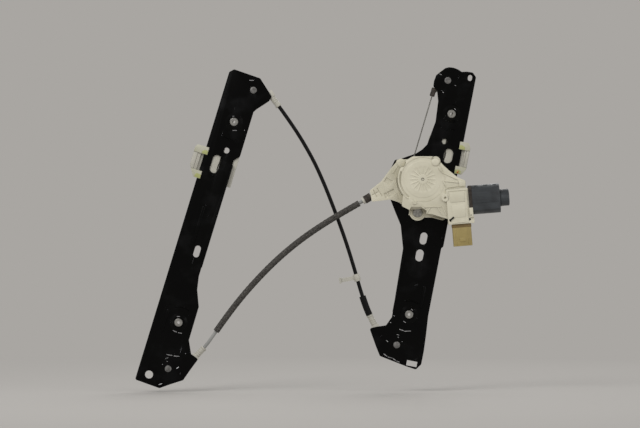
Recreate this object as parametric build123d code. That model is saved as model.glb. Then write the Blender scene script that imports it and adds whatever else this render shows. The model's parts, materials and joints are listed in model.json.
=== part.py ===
from build123d import *
import math
import os

# Twin-rail cable window regulator, seen from its motor side. +X right, +Z up, -Y toward the
# motor side. The origin is the axis of the right rail's upper clinch nut, at the rail's front
# face. Everything is in millimetres.

# ---- rails ----------------------------------------------------------------------------------
SHEET = 1.5                     # steel thickness; the web runs from y = 0 back to y = SHEET
OUTLINE_ROUND = 3.0             # corner radius of the rails' outlines
LEFT_TILT = 17.03               # each rail leans to the right, in degrees from the vertical
RIGHT_TILT = 10.94
LEFT_LENGTH = 488.5             # foot of the guide edge to the top of the head
RIGHT_LENGTH = 441.0
LEFT_WIDTH = 46.8               # guide edge to the inner edge, between head and foot
RIGHT_WIDTH = 56.5
LEFT_NUT_X = -326.2             # the left rail's upper clinch nut, from the right rail's
LEFT_NUT_Z = -12.0
# Outline points: (inward from the inner edge, down from the top) at the head, and (inward from
# the inner edge, up from the foot) at the foot. The guide edge is at 0.
LEFT_HEAD = [(-1.5, 131.0), (5.9, 123.0), (5.7, 53.0), (8.6, 48.0), (23.2, 30.5), (25.0, 22.5),
             (0.5, 1.5)]
LEFT_FOOT = [(-8.0, -1.8), (5.4, 8.2), (22.5, 20.0), (28.2, 38.0), (35.0, 57.0), (22.5, 61.0),
             (13.2, 80.0), (12.8, 132.0), (3.0, 156.0), (-0.6, 176.0)]
RIGHT_HEAD = [(42.8, 163.8), (39.5, 151.0), (32.5, 148.2), (10.5, 135.5), (2.5, 128.0),
              (-3.5, 119.0), (-9.5, 83.0), (-7.5, 52.0), (-2.5, 35.5), (3.8, 32.0), (4.4, 23.8),
              (2.7, 14.1), (-8.8, 1.1), (-14.2, -1.2), (-21.1, -1.7), (-28.4, -0.3),
              (-33.8, 2.2), (-41.5, 0.3)]
RIGHT_FOOT = [(-51.0, -12.6), (-35.0, -10.5), (5.9, -2.9), (14.2, 10.0), (28.9, 34.8),
              (19.6, 39.0), (5.5, 44.0), (-0.8, 58.0), (2.3, 162.0), (12.5, 196.0),
              (23.5, 212.5), (34.5, 230.0)]
CROWN_CUT = 6.0                 # corner cut off each head at the guide edge
GUIDE_STEP = 2.5                # step in the right rail's guide edge, and its height
GUIDE_STEP_RISE = 176.0
RIGHT_TOE = [(2.5, 70.0), (0.2, 40.0), (-1.1, 16.0), (-1.0, -3.4)]     # from the guide edge
LIP_HEIGHT = 4.0                # stiffening lip on the inner edge, turned to the front
LEFT_LIP = (190.0, 350.0)       # its lower and upper ends, up from the foot
RIGHT_LIP = (66.0, 150.0)

# ---- clinch nuts in dished seats --------------------------------------------------------------
NUT_BORE_R = 2.5                # tapping size of an M6 thread
NUT_BARREL_R = 4.4
NUT_HEAD_R = 6.0
NUT_HEAD_THICK = 1.5
NUT_TAIL = 2.0                  # swaged tail that the dish hides
DISH_TOP_R = 9.5
DISH_BASE_R = 13.5
DISH_HEIGHT = 3.0
LEFT_NUT_INSET = 28.9           # from the guide edge
LEFT_NUT_DROP = 75.7            # below the top
LEFT_LOW_NUT_INSET = 37.4
LEFT_LOW_NUT_RISE = 100.9
RIGHT_NUT_INSET = 25.7
RIGHT_NUT_DROP = 67.1
RIGHT_LOW_NUT_INSET = 31.2
RIGHT_LOW_NUT_RISE = 66.6

# ---- holes in the webs: (inset from the guide edge, height above the foot, length, width) -----
LEFT_SLOTS = [(20.8, 344.4, 27.7, 12.7), (32.7, 210.8, 18.0, 9.0)]
RIGHT_SLOTS = [(18.9, 311.1, 21.8, 14.0), (31.5, 182.6, 18.0, 10.5), (32.5, 156.5, 18.0, 11.3),
               (8.7, 432.2, 9.0, 6.3)]
LEFT_ROUND_HOLE = (30.7, 368.6, 4.3)
RIGHT_ROUND_HOLE = (28.2, 331.5, 4.0)
LOCATOR_R = 6.0                 # locating hole near the left foot
LOCATOR_INSET = 17.9
LOCATOR_RISE = 13.3
TOE_HOLE_WIDTH = 15.8           # rectangular hole near the right foot
TOE_HOLE_HEIGHT = 8.0
TOE_HOLE_INSET = 13.2
TOE_HOLE_RISE = -5.0

# ---- cable and pulleys ----------------------------------------------------------------------
CABLE_R = 0.9
FREE_GAP = 0.3                  # clearance between moving pieces and their neighbours
RUNNING_GAP = 0.05              # radial clearance of a shaft in its bore
PULLEY_PITCH_R = 16.0           # radius at the cable's centre
PULLEY_FLANGE_R = 17.2
PULLEY_WIDTH = 6.0
PULLEY_FLANGE_EDGE = 0.8
CABLE_Y = 6.0                   # plane of the pulleys, behind the web
LEFT_PULLEY_INSET = 42.75
RIGHT_PULLEY_INSET = 40.65
LEFT_TOP_DROP = 21.6            # pulley centres, down from the top and up from the foot
LEFT_LOW_RISE = 29.9
RIGHT_TOP_DROP = 18.7
RIGHT_LOW_RISE = 18.2
RIVET_R = 3.0
RIVET_HEAD_R = 5.0
RIVET_HEAD_THICK = 1.3
PULLEY_HOLES = 5
PULLEY_HOLE_R = 2.2
PULLEY_HOLE_PCD_R = 9.0
GUARD_R = 17.7
GUARD_THICK = 1.5
GUARD_LEG_R = 3.2

# ---- sliders --------------------------------------------------------------------------------
SLIDER_HALF = 24.3              # half its height along the rail
SLIDER_DEPTH = 11.2
SLIDER_REACH = 52.0             # inward reach behind the web
LEFT_SLIDER_RISE = 340.9        # height of each slider's middle above the rail's foot
RIGHT_SLIDER_RISE = 311.5
# Each slider's side past the guide edge: reach at the top, greatest reach, the heights between
# which it is greatest, from the slider's middle, and reach at the foot.
LEFT_SIDE = (13.0, 16.0, 19.5, -8.0, 5.5)
RIGHT_SIDE = (8.0, 11.7, 17.5, -14.5, 6.0)
HOOK_LIP = 5.0                  # cover over the web's front
HOOK_THICK = 3.6
HOOK_HEIGHT = 11.5
HOOK_WALL = 4.5                 # the hook's wall beside the guide edge
SLIDE_GAP = 0.3
NIPPLE_R = 2.2
NIPPLE_LENGTH = 9.0
GLASS_SLOT = 5.5
JAW_THICK = 3.5
JAW_INSET = 8.0
JAW_WIDTH = 38.0
SHELF_HEIGHT = 14.0
JAW_TOP = 20.0                  # height of the jaw above the slider's middle
CLAMP_SCREW_R = 3.0
CLAMP_HEAD_R = 5.0
CLAMP_HEAD_THICK = 3.5
CLAMP_SCREW_INSET = 37.0
CLAMP_THREAD = 4.0              # how deep the screw enters the carrier
TRAVEL_DOWN = 245.0             # from where the sliders are drawn
STOP_INSET = 6.0
STOP_WIDTH = 12.0
STOP_HEIGHT = 9.0
STOP_DEPTH = 8.0

# ---- drive unit -----------------------------------------------------------------------------
DRUM_X = -44.25
DRUM_Z = -98.25
DRUM_PITCH_R = 21.5
DRUM_FRONT = -14.5
DRUM_BACK = -3.2
DRUM_FLANGE_R = 23.6
DRUM_FLANGE_THICK = 1.2
DRUM_TURNS = 4
TURN_PITCH = 2.1
NECK_R = 10.0
AXLE_R = 4.0
CASE_WALL = 2.0                 # plastic wall of the drive housings
DRUM_CASE_FRONT = -16.5
WAY_GAP = 0.5 + 2 * FREE_GAP     # free space round each cable on its way through the housing
WAY_OUT = 60.0                  # a cutter's length, past the housing's edge
DRUM_POCKET_GAP = 0.8
GEAR_CASE_FRONT = -35.0
CASE_R = 37.0
CASE_TOP = 34.2                 # the gear case is flat above this height over the axis
GEAR_TEETH = 55
WHEEL_PITCH_R = 31.0
TOOTH_OUT = 0.9
TOOTH_IN = 1.3
TOOTH_ROOT_HALF = 1.04          # half a tooth along the rim, at its root and at its tip
TOOTH_TIP_HALF = 0.39
WHEEL_WIDTH = 5.0
WHEEL_HUB_WIDTH = 9.0
WHEEL_WEB = 1.5
SHAFT_Y = -26.5
WORM_PITCH_R = 5.3
WORM_ROOT_R = 4.0
WORM_TIP_R = 6.3
WORM_TURNS = 6
WORM_THREAD_ROOT = 1.9
WORM_THREAD_TIP = 0.7
WORM_GAP = 0.6                  # free space round the worm, in its tunnel
TUNNEL_WALL = 0.7
TUNNEL_SPARE = 3.0
WORM_PHASE = 60.0               # turns the thread's middle toward the wheel
SHAFT_DROP = 36.4               # drum axis to worm axis
SHAFT_R = 2.5
MOTOR_TILT = 4.5
COVER_R = 32.4
COVER_THICK = 2.5
PETALS = 16
PETAL_LENGTH = 13.5
PETAL_WIDTH = 3.4
PETAL_MID_R = 17.0
PETAL_DEPTH = 0.8
COVER_CENTRE_R = 2.2
DAMPER_R = 22.0
DAMPER_HOLE_R = 12.5

# Outlines round the drum's axis, (across, up).
DRUM_CASE = [(-39.0, -28.0), (-33.0, -36.0), (-21.0, -42.0), (-16.0, -57.0), (14.0, -57.0),
             (33.0, -62.0), (39.0, -34.0), (39.0, 14.5), (22.0, 30.0), (-39.0, 30.0)]
ARM = [(-37.0, 28.0), (-46.5, 17.3), (-61.5, -3.0), (-78.5, -16.5), (-75.5, -33.5), (-48.0, -30.0),
       (-30.0, -36.0), (-24.0, 0.0)]
GEAR_CASE = [(-28.0, -14.0), (-31.0, -40.0), (-12.0, -49.5), (14.0, -52.0), (40.0, -60.0),
             (60.0, -50.0), (64.0, -14.0), (64.0, -2.0), (52.0, 3.0), (39.0, 13.5), (18.0, 30.0)]
CASE_ROUND = 4.0
ARM_ROUND = 2.5
ARM_FRONT = -17.5
ARM_BACK = -4.5
CELL_ROUND = 0.4
CELL_DEPTH = 1.3
# Sunk panels and lines on the arm's face: across, up, length, height, turn.
CELLS = [(-51.0, -2.8, 11.0, 8.0, -33.0), (-46.0, -19.8, 11.0, 7.6, 27.0),
         (-54.2, -23.8, 4.6, 7.4, 27.0), (-63.8, -19.2, 0.9, 15.0, 33.0),
         (-70.6, -20.8, 0.9, 12.0, 27.0), (-70.6, -20.8, 10.5, 0.9, 27.0)]
BOSSES = [(-31.7, 24.6, 6.4, 3.3), (19.5, 27.0, 7.5, 3.3)]   # across, up, radius, screw head radius
BOSS_HEIGHT = 3.0
SCREW_BOSS = (-7.0, -49.2)
SCREW_BOSS_R = 12.4
SCREW_HEAD_R = 6.5
SCREW_HEAD_THICK = 2.4
SCREW_SOCKET_R = 3.0
SCREW_SOCKET_DEPTH = 1.6
SCREW_BOSS_HEIGHT = 0.5
BAY_TOP = -41.0                 # the gear case is open in front of the screw, up to this height
GROOVE_R = 34.7                 # groove round part of the cover, between two bearings
GROOVE_DEPTH = 1.9
GROOVE_BEARINGS = (160.0, 232.0)
SCREW_R = 3.0
SMALL_SCREW_R = 1.8
SMALL_SCREW_LENGTH = 11.0
SMALL_HEAD_THICK = 1.2
PIMPLES = [(33.8, -26.3, 6.5), (-12.0, -34.5, 3.2)]         # raised bosses on the gear case
PIMPLE_HEIGHT = 1.2

# Motor frame: along the shaft from the point nearest the drum's axis, and up from the shaft.
BOX_START = 33.0
BOX_END = 66.0
BOX_TOP = 18.4
BOX_BOTTOM = -34.4
BOX_FRONT = -38.5
BOX_FOOT = 6.0
BOX_STEP = 2.0                  # the box's foot below the can starts this far under it
BOX_BACK = -17.0
GASKET_THICK = 5.0
GASKET_WALL = 5.0
CAN_LENGTH = 41.5
CAN_R = 21.75
CAN_HALF_DEPTH = 15.0
CAN_WALL = 1.6
CAN_BOSS_R = 12.5
CAN_BOSS_LENGTH = 13.5
CORE_R = 12.6
MAGNET_OVERHANG = 2.0
CORE_LENGTH = 24.0
MAGNET_GAP = 0.6
MAGNET_HALF_ANGLE = 38.0
COMMUTATOR_R = 5.0
COMMUTATOR_LENGTH = 9.0
BUSH_R = 5.5
HOLDER_R = 8.5                  # brush holder, in the electronics box's wall
BRUSH_LENGTH = 6.5
BRUSH_WIDTH = 6.0
BRUSH_HALF_DEPTH = 2.0
GUIDE_THICK = 1.5               # the holder's guides, in front of and behind each brush
LID_THICK = 1.5
BOARD_THICK = 1.6
BOARD_SET = 2.0                 # the circuit board's back, forward of the box's back edge
BUSH_LENGTH = 5.0
SHAFT_CLEARANCE = 1.0
PLUG_LEFT = 38.5
PLUG_WIDTH = 28.0
PLUG_HEIGHT = 33.0
PLUG_WALL = 2.0
PLUG_FRONT = -35.0
PLUG_DEPTH = 17.0
PLUG_FLOOR = 10.0
PINS = 4
PIN_SIZE = 1.0
PIN_LENGTH = 14.0

# ---- conduits -------------------------------------------------------------------------------
# Each route's points, from the axis it leaves to the axis it reaches: (share of the line between
# them, how far to that line's left, y). Conduit A runs from the drum to the left rail's lower
# pulley, conduit B from the left rail's upper pulley to the right rail's lower one.
ROUTE_A = [(0.1612, -25.28, -10.0), (0.2366, -29.91, -9.5), (0.3277, -34.65, -8.0),
           (0.423, -36.62, -5.5), (0.526, -33.78, -2.5), (0.6383, -24.92, 1.0),
           (0.7352, -13.39, 4.0), (0.8084, -1.89, 5.6), (0.8633, 6.74, 6.0)]
ROUTE_B = [(0.1192, 23.22, 6.0), (0.2162, 26.85, 6.0), (0.3165, 27.06, 6.0),
           (0.4134, 22.97, 6.0), (0.5077, 16.92, 6.0), (0.6046, 9.88, 6.0), (0.7009, 0.76, 6.0),
           (0.7857, -8.1, 6.0), (0.8515, -13.47, 6.0)]
SHEATH_R = 4.7
LINER_R = 2.5
LINER_BORE_R = 1.3
CASING_B_R = 2.8
FERRULE_R = 4.3
FERRULE_LENGTH = 27.0
FERRULE_HOLD = 10.0             # how much of each ferrule sits in its socket
FERRULE_A_START = 3.0           # each ferrule's start, past the nearest route point
FERRULE_TOP_START = 12.5
FERRULE_LOW_START = 6.0
SOCKET_WALL = 1.6
COLLAR_R = 6.0
COLLAR_LENGTH = 11.0
RING_R = 5.2
RING_LENGTH = 3.5
SLEEVE_R = 4.9
SLEEVE_LENGTH = 30.0
CLIP_R = 5.0
CLIP_LENGTH = 11.0
CLIP_ARM = 27.0
CLIP_ARM_THICK = 3.0
CLIP_FOOT_THICK = 8.0
CLIP_FOOT_HALF = 4.5            # half the foot's height
CLIP_ARM_TURN = -10.0
CLIP_SPOT = 0.735               # share of conduit B's route from its top to the clip
NECK_GAP = 6.0                  # bare liner between conduit A's ring and its sheath
ARM_SOCKET = 8.0                # how far conduit A's liner enters the housing's arm
UPPER_STEP = 12.0               # bare cable in the pulley's plane before it leans forward
BUSH_FROM = 17.0                # the bare cable's bush, from where it leaves the pulley
CABLE_BUSH_LENGTH = 12.0
CABLE_BUSH_R = 3.4

web_back = SHEET
left_top = LEFT_LENGTH
right_top = RIGHT_LENGTH
nut_front = -DISH_HEIGHT - NUT_HEAD_THICK
left_frame = (
    Pos(LEFT_NUT_X, 0, LEFT_NUT_Z)
    * Rot(0, LEFT_TILT, 0)
    * Pos(-LEFT_NUT_INSET, 0, LEFT_NUT_DROP - LEFT_LENGTH)
)
# The right rail's inward side is at -X of its guide edge.
right_frame = Rot(0, RIGHT_TILT, 0) * Pos(RIGHT_NUT_INSET, 0, RIGHT_NUT_DROP - RIGHT_LENGTH)
drum_place = Pos(DRUM_X, 0, DRUM_Z)
motor_place = drum_place * Rot(0, -MOTOR_TILT, 0) * Pos(0, SHAFT_Y, -SHAFT_DROP)
INWARD = {"left": 1, "right": -1}

parts = {}


def plate(outline, front, back):
    """An outline drawn in X and Z, filled from y = front to y = back."""
    return extrude(Plane.XZ.offset(-back) * outline, amount=back - front)


def disc(x, z, radius, front, back):
    return plate(Pos(x, z) * Circle(radius), front, back)


def block(x0, x1, y0, y1, z0, z1):
    return Pos((x0 + x1) / 2, (y0 + y1) / 2, (z0 + z1) / 2) * Box(x1 - x0, y1 - y0, z1 - z0)


def rod(start, end, radius):
    """A round bar from one point to another."""
    start, end = Vector(start), Vector(end)
    return extrude(Plane(start, z_dir=end - start) * Circle(radius), amount=(end - start).length)


def along(length, width, x, z, front, back):
    """A rounded slot that runs up the rail."""
    if length - width < 0.1:
        return disc(x, z, width / 2, front, back)
    return plate(Pos(x, z) * Rot(0, 0, 90) * SlotOverall(length, width), front, back)


def place(frame, x, y, z):
    """A point of a rail or of the motor, in the part's frame."""
    return (frame * Pos(x, y, z)).position


# ---- rails ----------------------------------------------------------------------------------
def dish(x, z):
    """A seat pressed to the front, with the nut's hole: what is added and what is cut."""
    slope = (DISH_BASE_R - DISH_TOP_R) / DISH_HEIGHT
    outer = [(0, 0), (DISH_BASE_R, 0), (DISH_TOP_R, -DISH_HEIGHT), (0, -DISH_HEIGHT)]
    inner = [(0, web_back + 0.5), (DISH_BASE_R + slope * 0.5, web_back + 0.5),
             (DISH_TOP_R, web_back - DISH_HEIGHT), (0, web_back - DISH_HEIGHT)]
    solids = [
        Pos(x, 0, z) * revolve(Plane.XY * make_face(Polyline(*pts, close=True)), Axis.Y)
        for pts in (outer, inner)
    ]
    hole = disc(x, z, NUT_BARREL_R, -DISH_HEIGHT - 1, web_back)
    return solids[0], solids[1] + hole


def rail(side, points, nuts, rivets, slots, lip, width):
    """A web with its lip, seats and holes, in the rail's own frame."""
    way = INWARD[side]
    outline = Polygon(*[(way * x, z) for x, z in points][::way], align=None)
    body = plate(fillet(outline.vertices(), OUTLINE_ROUND), 0, web_back)
    edge = sorted((way * (width - SHEET), way * width))
    body += block(edge[0], edge[1], -LIP_HEIGHT, SHEET / 2, lip[0], lip[1])
    for inset, rise in nuts:
        seat, hollow = dish(way * inset, rise)
        body = body + seat - hollow
    for inset, rise in rivets:
        body -= disc(way * inset, rise, RIVET_R, -1, web_back + 1)
    for inset, rise, length, wide in slots:
        body -= along(length, wide, way * inset, rise, -1, web_back + 1)
    return body


left_nuts = [(LEFT_NUT_INSET, left_top - LEFT_NUT_DROP), (LEFT_LOW_NUT_INSET, LEFT_LOW_NUT_RISE)]
right_nuts = [(RIGHT_NUT_INSET, right_top - RIGHT_NUT_DROP),
              (RIGHT_LOW_NUT_INSET, RIGHT_LOW_NUT_RISE)]
left_rivets = [(LEFT_PULLEY_INSET, left_top - LEFT_TOP_DROP), (LEFT_PULLEY_INSET, LEFT_LOW_RISE)]
right_rivets = [(RIGHT_PULLEY_INSET, right_top - RIGHT_TOP_DROP),
                (RIGHT_PULLEY_INSET, RIGHT_LOW_RISE)]


def outline_points(head, foot, length, width, toe, crown):
    """The guide edge, then the foot's points inward and up, then the head's up and back."""
    lower = [(width + x, z) for x, z in foot]
    upper = [(width + x, length - z) for x, z in head]
    return toe + lower + upper + crown


left_points = outline_points(LEFT_HEAD, LEFT_FOOT, left_top, LEFT_WIDTH,
                             [(0, 0)], [(CROWN_CUT, left_top), (0, left_top - CROWN_CUT)])
right_points = outline_points(RIGHT_HEAD, RIGHT_FOOT, right_top, RIGHT_WIDTH,
                              [(0, GUIDE_STEP_RISE), (GUIDE_STEP, GUIDE_STEP_RISE - GUIDE_STEP)]
                              + RIGHT_TOE,
                              [(CROWN_CUT, right_top), (0, right_top - CROWN_CUT)])
LOCATOR = (LOCATOR_INSET, LOCATOR_RISE, 2 * LOCATOR_R, 2 * LOCATOR_R)
LEFT_ROUND = (LEFT_ROUND_HOLE[0], LEFT_ROUND_HOLE[1], 2 * LEFT_ROUND_HOLE[2],
              2 * LEFT_ROUND_HOLE[2])
RIGHT_ROUND = (RIGHT_ROUND_HOLE[0], RIGHT_ROUND_HOLE[1], 2 * RIGHT_ROUND_HOLE[2],
               2 * RIGHT_ROUND_HOLE[2])
left_rail = rail("left", left_points, left_nuts, left_rivets,
                 LEFT_SLOTS + [LOCATOR, LEFT_ROUND], LEFT_LIP, LEFT_WIDTH)
right_rail = rail("right", right_points, right_nuts, right_rivets,
                  RIGHT_SLOTS + [RIGHT_ROUND], RIGHT_LIP, RIGHT_WIDTH)
toe_cut = plate(Pos(-TOE_HOLE_INSET, TOE_HOLE_RISE) * Rectangle(TOE_HOLE_WIDTH, TOE_HOLE_HEIGHT),
                -1, web_back + 1)
parts["left_rail"] = left_frame * left_rail
parts["right_rail"] = right_frame * (right_rail - toe_cut)


# ---- clinch nuts ----------------------------------------------------------------------------
def clinch_nut(x, z):
    tail = web_back - DISH_HEIGHT + NUT_TAIL
    nut = disc(x, z, NUT_HEAD_R, nut_front, -DISH_HEIGHT)
    nut += disc(x, z, NUT_BARREL_R, -DISH_HEIGHT, tail)
    return nut - disc(x, z, NUT_BORE_R, nut_front - 1, tail + 1)


parts["clinch_nuts"] = (
    [left_frame * clinch_nut(x, z) for x, z in left_nuts]
    + [right_frame * clinch_nut(-x, z) for x, z in right_nuts]
)


# ---- pulleys, their rivets and guards -------------------------------------------------------
pulley_front = CABLE_Y - PULLEY_WIDTH / 2
pulley_back = CABLE_Y + PULLEY_WIDTH / 2
guard_front = pulley_back + 2 * FREE_GAP
guard_back = guard_front + GUARD_THICK


def pulley():
    half = PULLEY_WIDTH / 2
    seat = CABLE_R + FREE_GAP
    groove_r = PULLEY_PITCH_R - seat
    bore = RIVET_R + RUNNING_GAP
    rim = half - PULLEY_FLANGE_EDGE
    profile = Polyline(
        (bore, -half), (PULLEY_FLANGE_R, -half), (PULLEY_FLANGE_R, -rim), (groove_r, -seat),
        (groove_r, seat), (PULLEY_FLANGE_R, rim), (PULLEY_FLANGE_R, half), (bore, half),
        close=True,
    )
    wheel = revolve(make_face(profile), Axis.Y)
    for k in range(PULLEY_HOLES):
        hole = disc(PULLEY_HOLE_PCD_R, 0, PULLEY_HOLE_R, -half - 1, half + 1)
        wheel -= Rot(0, 360 * k / PULLEY_HOLES, 0) * hole
    return wheel


def rivet(x, z):
    body = disc(x, z, RIVET_HEAD_R, -RIVET_HEAD_THICK, 0)
    body += disc(x, z, RIVET_R, 0, guard_back)
    body += disc(x, z, RIVET_HEAD_R, web_back, pulley_front - FREE_GAP)
    return body + disc(x, z, RIVET_HEAD_R, guard_back, guard_back + RIVET_HEAD_THICK)


def arm_between(a, b, radius, front, back):
    """A flat arm with round ends from one point to another, in the part's frame."""
    dx, dz = b.X - a.X, b.Z - a.Z
    angle = math.degrees(math.atan2(dz, dx))
    shape = Rot(0, 0, angle) * SlotCenterToCenter(math.hypot(dx, dz), 2 * radius)
    return plate(Pos((a.X + b.X) / 2, (a.Z + b.Z) / 2) * shape, front, back)


def guard(centre, feet, holders):
    """A plate behind the pulley, on its rivet, with legs that stand on the web and sockets
    that hold ferrules."""
    cap = disc(centre.X, centre.Z, GUARD_R, guard_front, guard_back)
    for foot in feet:
        cap += arm_between(centre, foot, GUARD_LEG_R, guard_front, guard_back)
        cap += disc(foot.X, foot.Z, GUARD_LEG_R, web_back, guard_back)
    for start, end in holders:
        middle = (start + end) / 2
        cap += arm_between(centre, middle, GUARD_LEG_R, guard_front, guard_back)
        cap += socket(start, end)
        cap -= rod(start * 2 - end, end * 2 - start, FERRULE_R)
    return cap - disc(centre.X, centre.Z, RIVET_R, guard_front - 1, guard_back + 1)


def socket(start, end):
    """The block round a ferrule, from the web to the guard's back."""
    length = (end - start).length
    wide = 2 * (FERRULE_R + SOCKET_WALL)
    lift = CABLE_Y - (guard_back + web_back) / 2
    face = Plane(start, x_dir=end - start, z_dir=(0, -1, 0))
    return face * Pos(length / 2, 0, lift) * Box(length, wide, guard_back - web_back)


pulley_spots = {
    "left_top": (left_frame, left_rivets[0]),
    "left_bottom": (left_frame, left_rivets[1]),
    "right_top": (right_frame, (-right_rivets[0][0], right_rivets[0][1])),
    "right_bottom": (right_frame, (-right_rivets[1][0], right_rivets[1][1])),
}
pulley_centres = {}
rivets = []
for spot, (frame, (x, z)) in pulley_spots.items():
    centre = place(frame, x, CABLE_Y, z)
    pulley_centres[spot] = centre
    parts[f"{spot}_pulley"] = Pos(centre) * pulley()
    rivets.append(frame * rivet(x, z))
parts["pulley_rivets"] = rivets


# ---- cable routes ---------------------------------------------------------------------------
def route(start, end, points):
    """A route's points, measured along and to the left of the line from start to end."""
    run = Vector(end.X - start.X, 0, end.Z - start.Z)
    left = Vector(-run.Z, 0, run.X).normalized()
    return [Vector(start.X, y, start.Z) + run * share + left * offset
            for share, offset, y in points]


def tangent(centre, radius, point, turn):
    """Where a line from point touches a circle. turn is 1 to arrive anticlockwise, seen from
    the front, and -1 to arrive clockwise."""
    dx, dz = point.X - centre.X, point.Z - centre.Z
    away = math.atan2(dz, dx)
    opening = math.acos(radius / math.hypot(dx, dz))
    angle = away + turn * opening
    return Vector(centre.X + radius * math.cos(angle), centre.Y,
                  centre.Z + radius * math.sin(angle))


def corner_radii(points):
    """Each corner's arc is as large as its two runs allow."""
    radii = []
    for a, b, c in zip(points, points[1:], points[2:]):
        half_turn = math.radians((b - a).get_angle(c - b)) / 2
        radii.append(0.45 * min((b - a).length, (c - b).length) / math.tan(half_turn))
    return radii


def wrap(centre, start, end, turn):
    """The arc round a pulley from start to end."""
    radius = (start - centre).length
    first = math.atan2(start.Z - centre.Z, start.X - centre.X)
    last = math.atan2(end.Z - centre.Z, end.X - centre.X)
    sweep_angle = (last - first) * turn % (2 * math.pi)
    middle = first + turn * sweep_angle / 2
    mid = Vector(centre.X + radius * math.cos(middle), centre.Y,
                 centre.Z + radius * math.sin(middle))
    return ThreePointArc(start, mid, end)


def rope(path, outer, inner=0.0):
    """A round bar or tube along a route."""
    face = Circle(outer) - Circle(inner) if inner else Circle(outer)
    return sweep(Plane(path @ 0, z_dir=path % 0) * face, path=path)


def run_y(frame, side, rise, reach):
    """A point of the straight cable beside the guide edge."""
    return place(frame, INWARD[side] * reach, CABLE_Y, rise)


left_cable_inset = LEFT_PULLEY_INSET - PULLEY_PITCH_R
right_cable_inset = RIGHT_PULLEY_INSET - PULLEY_PITCH_R
half_nipple = NIPPLE_LENGTH / 2
c_lb, c_lt = pulley_centres["left_bottom"], pulley_centres["left_top"]
c_rb, c_rt = pulley_centres["right_bottom"], pulley_centres["right_top"]
side_lb = run_y(left_frame, "left", left_rivets[1][1], left_cable_inset)
side_lt = run_y(left_frame, "left", left_rivets[0][1], left_cable_inset)
side_rb = run_y(right_frame, "right", right_rivets[1][1], right_cable_inset)
side_rt = run_y(right_frame, "right", right_rivets[0][1], right_cable_inset)
left_grip = run_y(left_frame, "left", LEFT_SLIDER_RISE, left_cable_inset)
right_grip = run_y(right_frame, "right", RIGHT_SLIDER_RISE, right_cable_inset)

drum_ways = [DRUM_FRONT + DRUM_FLANGE_THICK + TURN_PITCH * (k + 0.5) for k in range(DRUM_TURNS)]
drum_front_axis = Vector(DRUM_X, drum_ways[1], DRUM_Z)
drum_back_axis = Vector(DRUM_X, drum_ways[2], DRUM_Z)
# A loose end stops this far before it would meet the turns that rotate with the drum.
drum_clear = math.sqrt((DRUM_PITCH_R + CABLE_R + FREE_GAP) ** 2 - (DRUM_PITCH_R - CABLE_R) ** 2) + 0.5

points_a = route(drum_front_axis, c_lb, ROUTE_A)
points_a[0] = Vector(points_a[0].X, drum_front_axis.Y, points_a[0].Z)
leave_drum = tangent(drum_front_axis, DRUM_PITCH_R, points_a[0], -1)
start_a = leave_drum + (points_a[0] - leave_drum).normalized() * drum_clear
touch_lb = tangent(c_lb, PULLEY_PITCH_R, points_a[-1], -1)
corners_a = [start_a] + points_a + [touch_lb]
path_a = FilletPolyline(*corners_a, radius=corner_radii(corners_a))

points_b = route(c_lt, c_rb, ROUTE_B)
touch_lt = tangent(c_lt, PULLEY_PITCH_R, points_b[0], 1)
touch_rb = tangent(c_rb, PULLEY_PITCH_R, points_b[-1], 1)
corners_b = [touch_lt] + points_b + [touch_rb]
path_b = FilletPolyline(*corners_b, radius=corner_radii(corners_b))


def toward(start, end, distance):
    return start + (end - start).normalized() * distance


lower_path = Wire(list(path_a.edges()) + [wrap(c_lb, touch_lb, side_lb, -1).edge(),
                                           Line(side_lb, left_grip).edge()])
cross_path = Wire([Line(left_grip, side_lt).edge(), wrap(c_lt, side_lt, touch_lt, -1).edge()]
                  + list(path_b.edges())
                  + [wrap(c_rb, touch_rb, side_rb, 1).edge(), Line(side_rb, right_grip).edge()])

# ---- cables ---------------------------------------------------------------------------------
lean = math.asin((DRUM_PITCH_R - PULLEY_PITCH_R) / math.hypot(c_rt.X - DRUM_X, c_rt.Z - DRUM_Z))
down = math.atan2(DRUM_Z - c_rt.Z, DRUM_X - c_rt.X)
side_way = down - math.pi / 2 - lean
side_dir = Vector(math.cos(side_way), 0, math.sin(side_way))
touch_rt = c_rt + side_dir * PULLEY_PITCH_R
meet_drum = drum_back_axis + side_dir * DRUM_PITCH_R
end_drum = meet_drum + (touch_rt - meet_drum).normalized() * drum_clear
lean_from = Vector(touch_rt.X, CABLE_Y, touch_rt.Z) + (
    Vector(meet_drum.X, CABLE_Y, meet_drum.Z) - touch_rt).normalized() * UPPER_STEP
lean_line = [touch_rt, lean_from, end_drum]
upper_lean = FilletPolyline(*lean_line, radius=corner_radii(lean_line))
upper_path = Wire([Line(right_grip, side_rt).edge(), wrap(c_rt, side_rt, touch_rt, 1).edge()]
                  + list(upper_lean.edges()))
parts["lower_cable"] = rope(lower_path, CABLE_R)
parts["cross_cable"] = rope(cross_path, CABLE_R)
parts["upper_cable"] = rope(upper_path, CABLE_R)


# ---- conduits -------------------------------------------------------------------------------
def stretch(path, start, end):
    """The part of a route between two distances from its start."""
    return path.trim(start / path.length, end / path.length)


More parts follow.
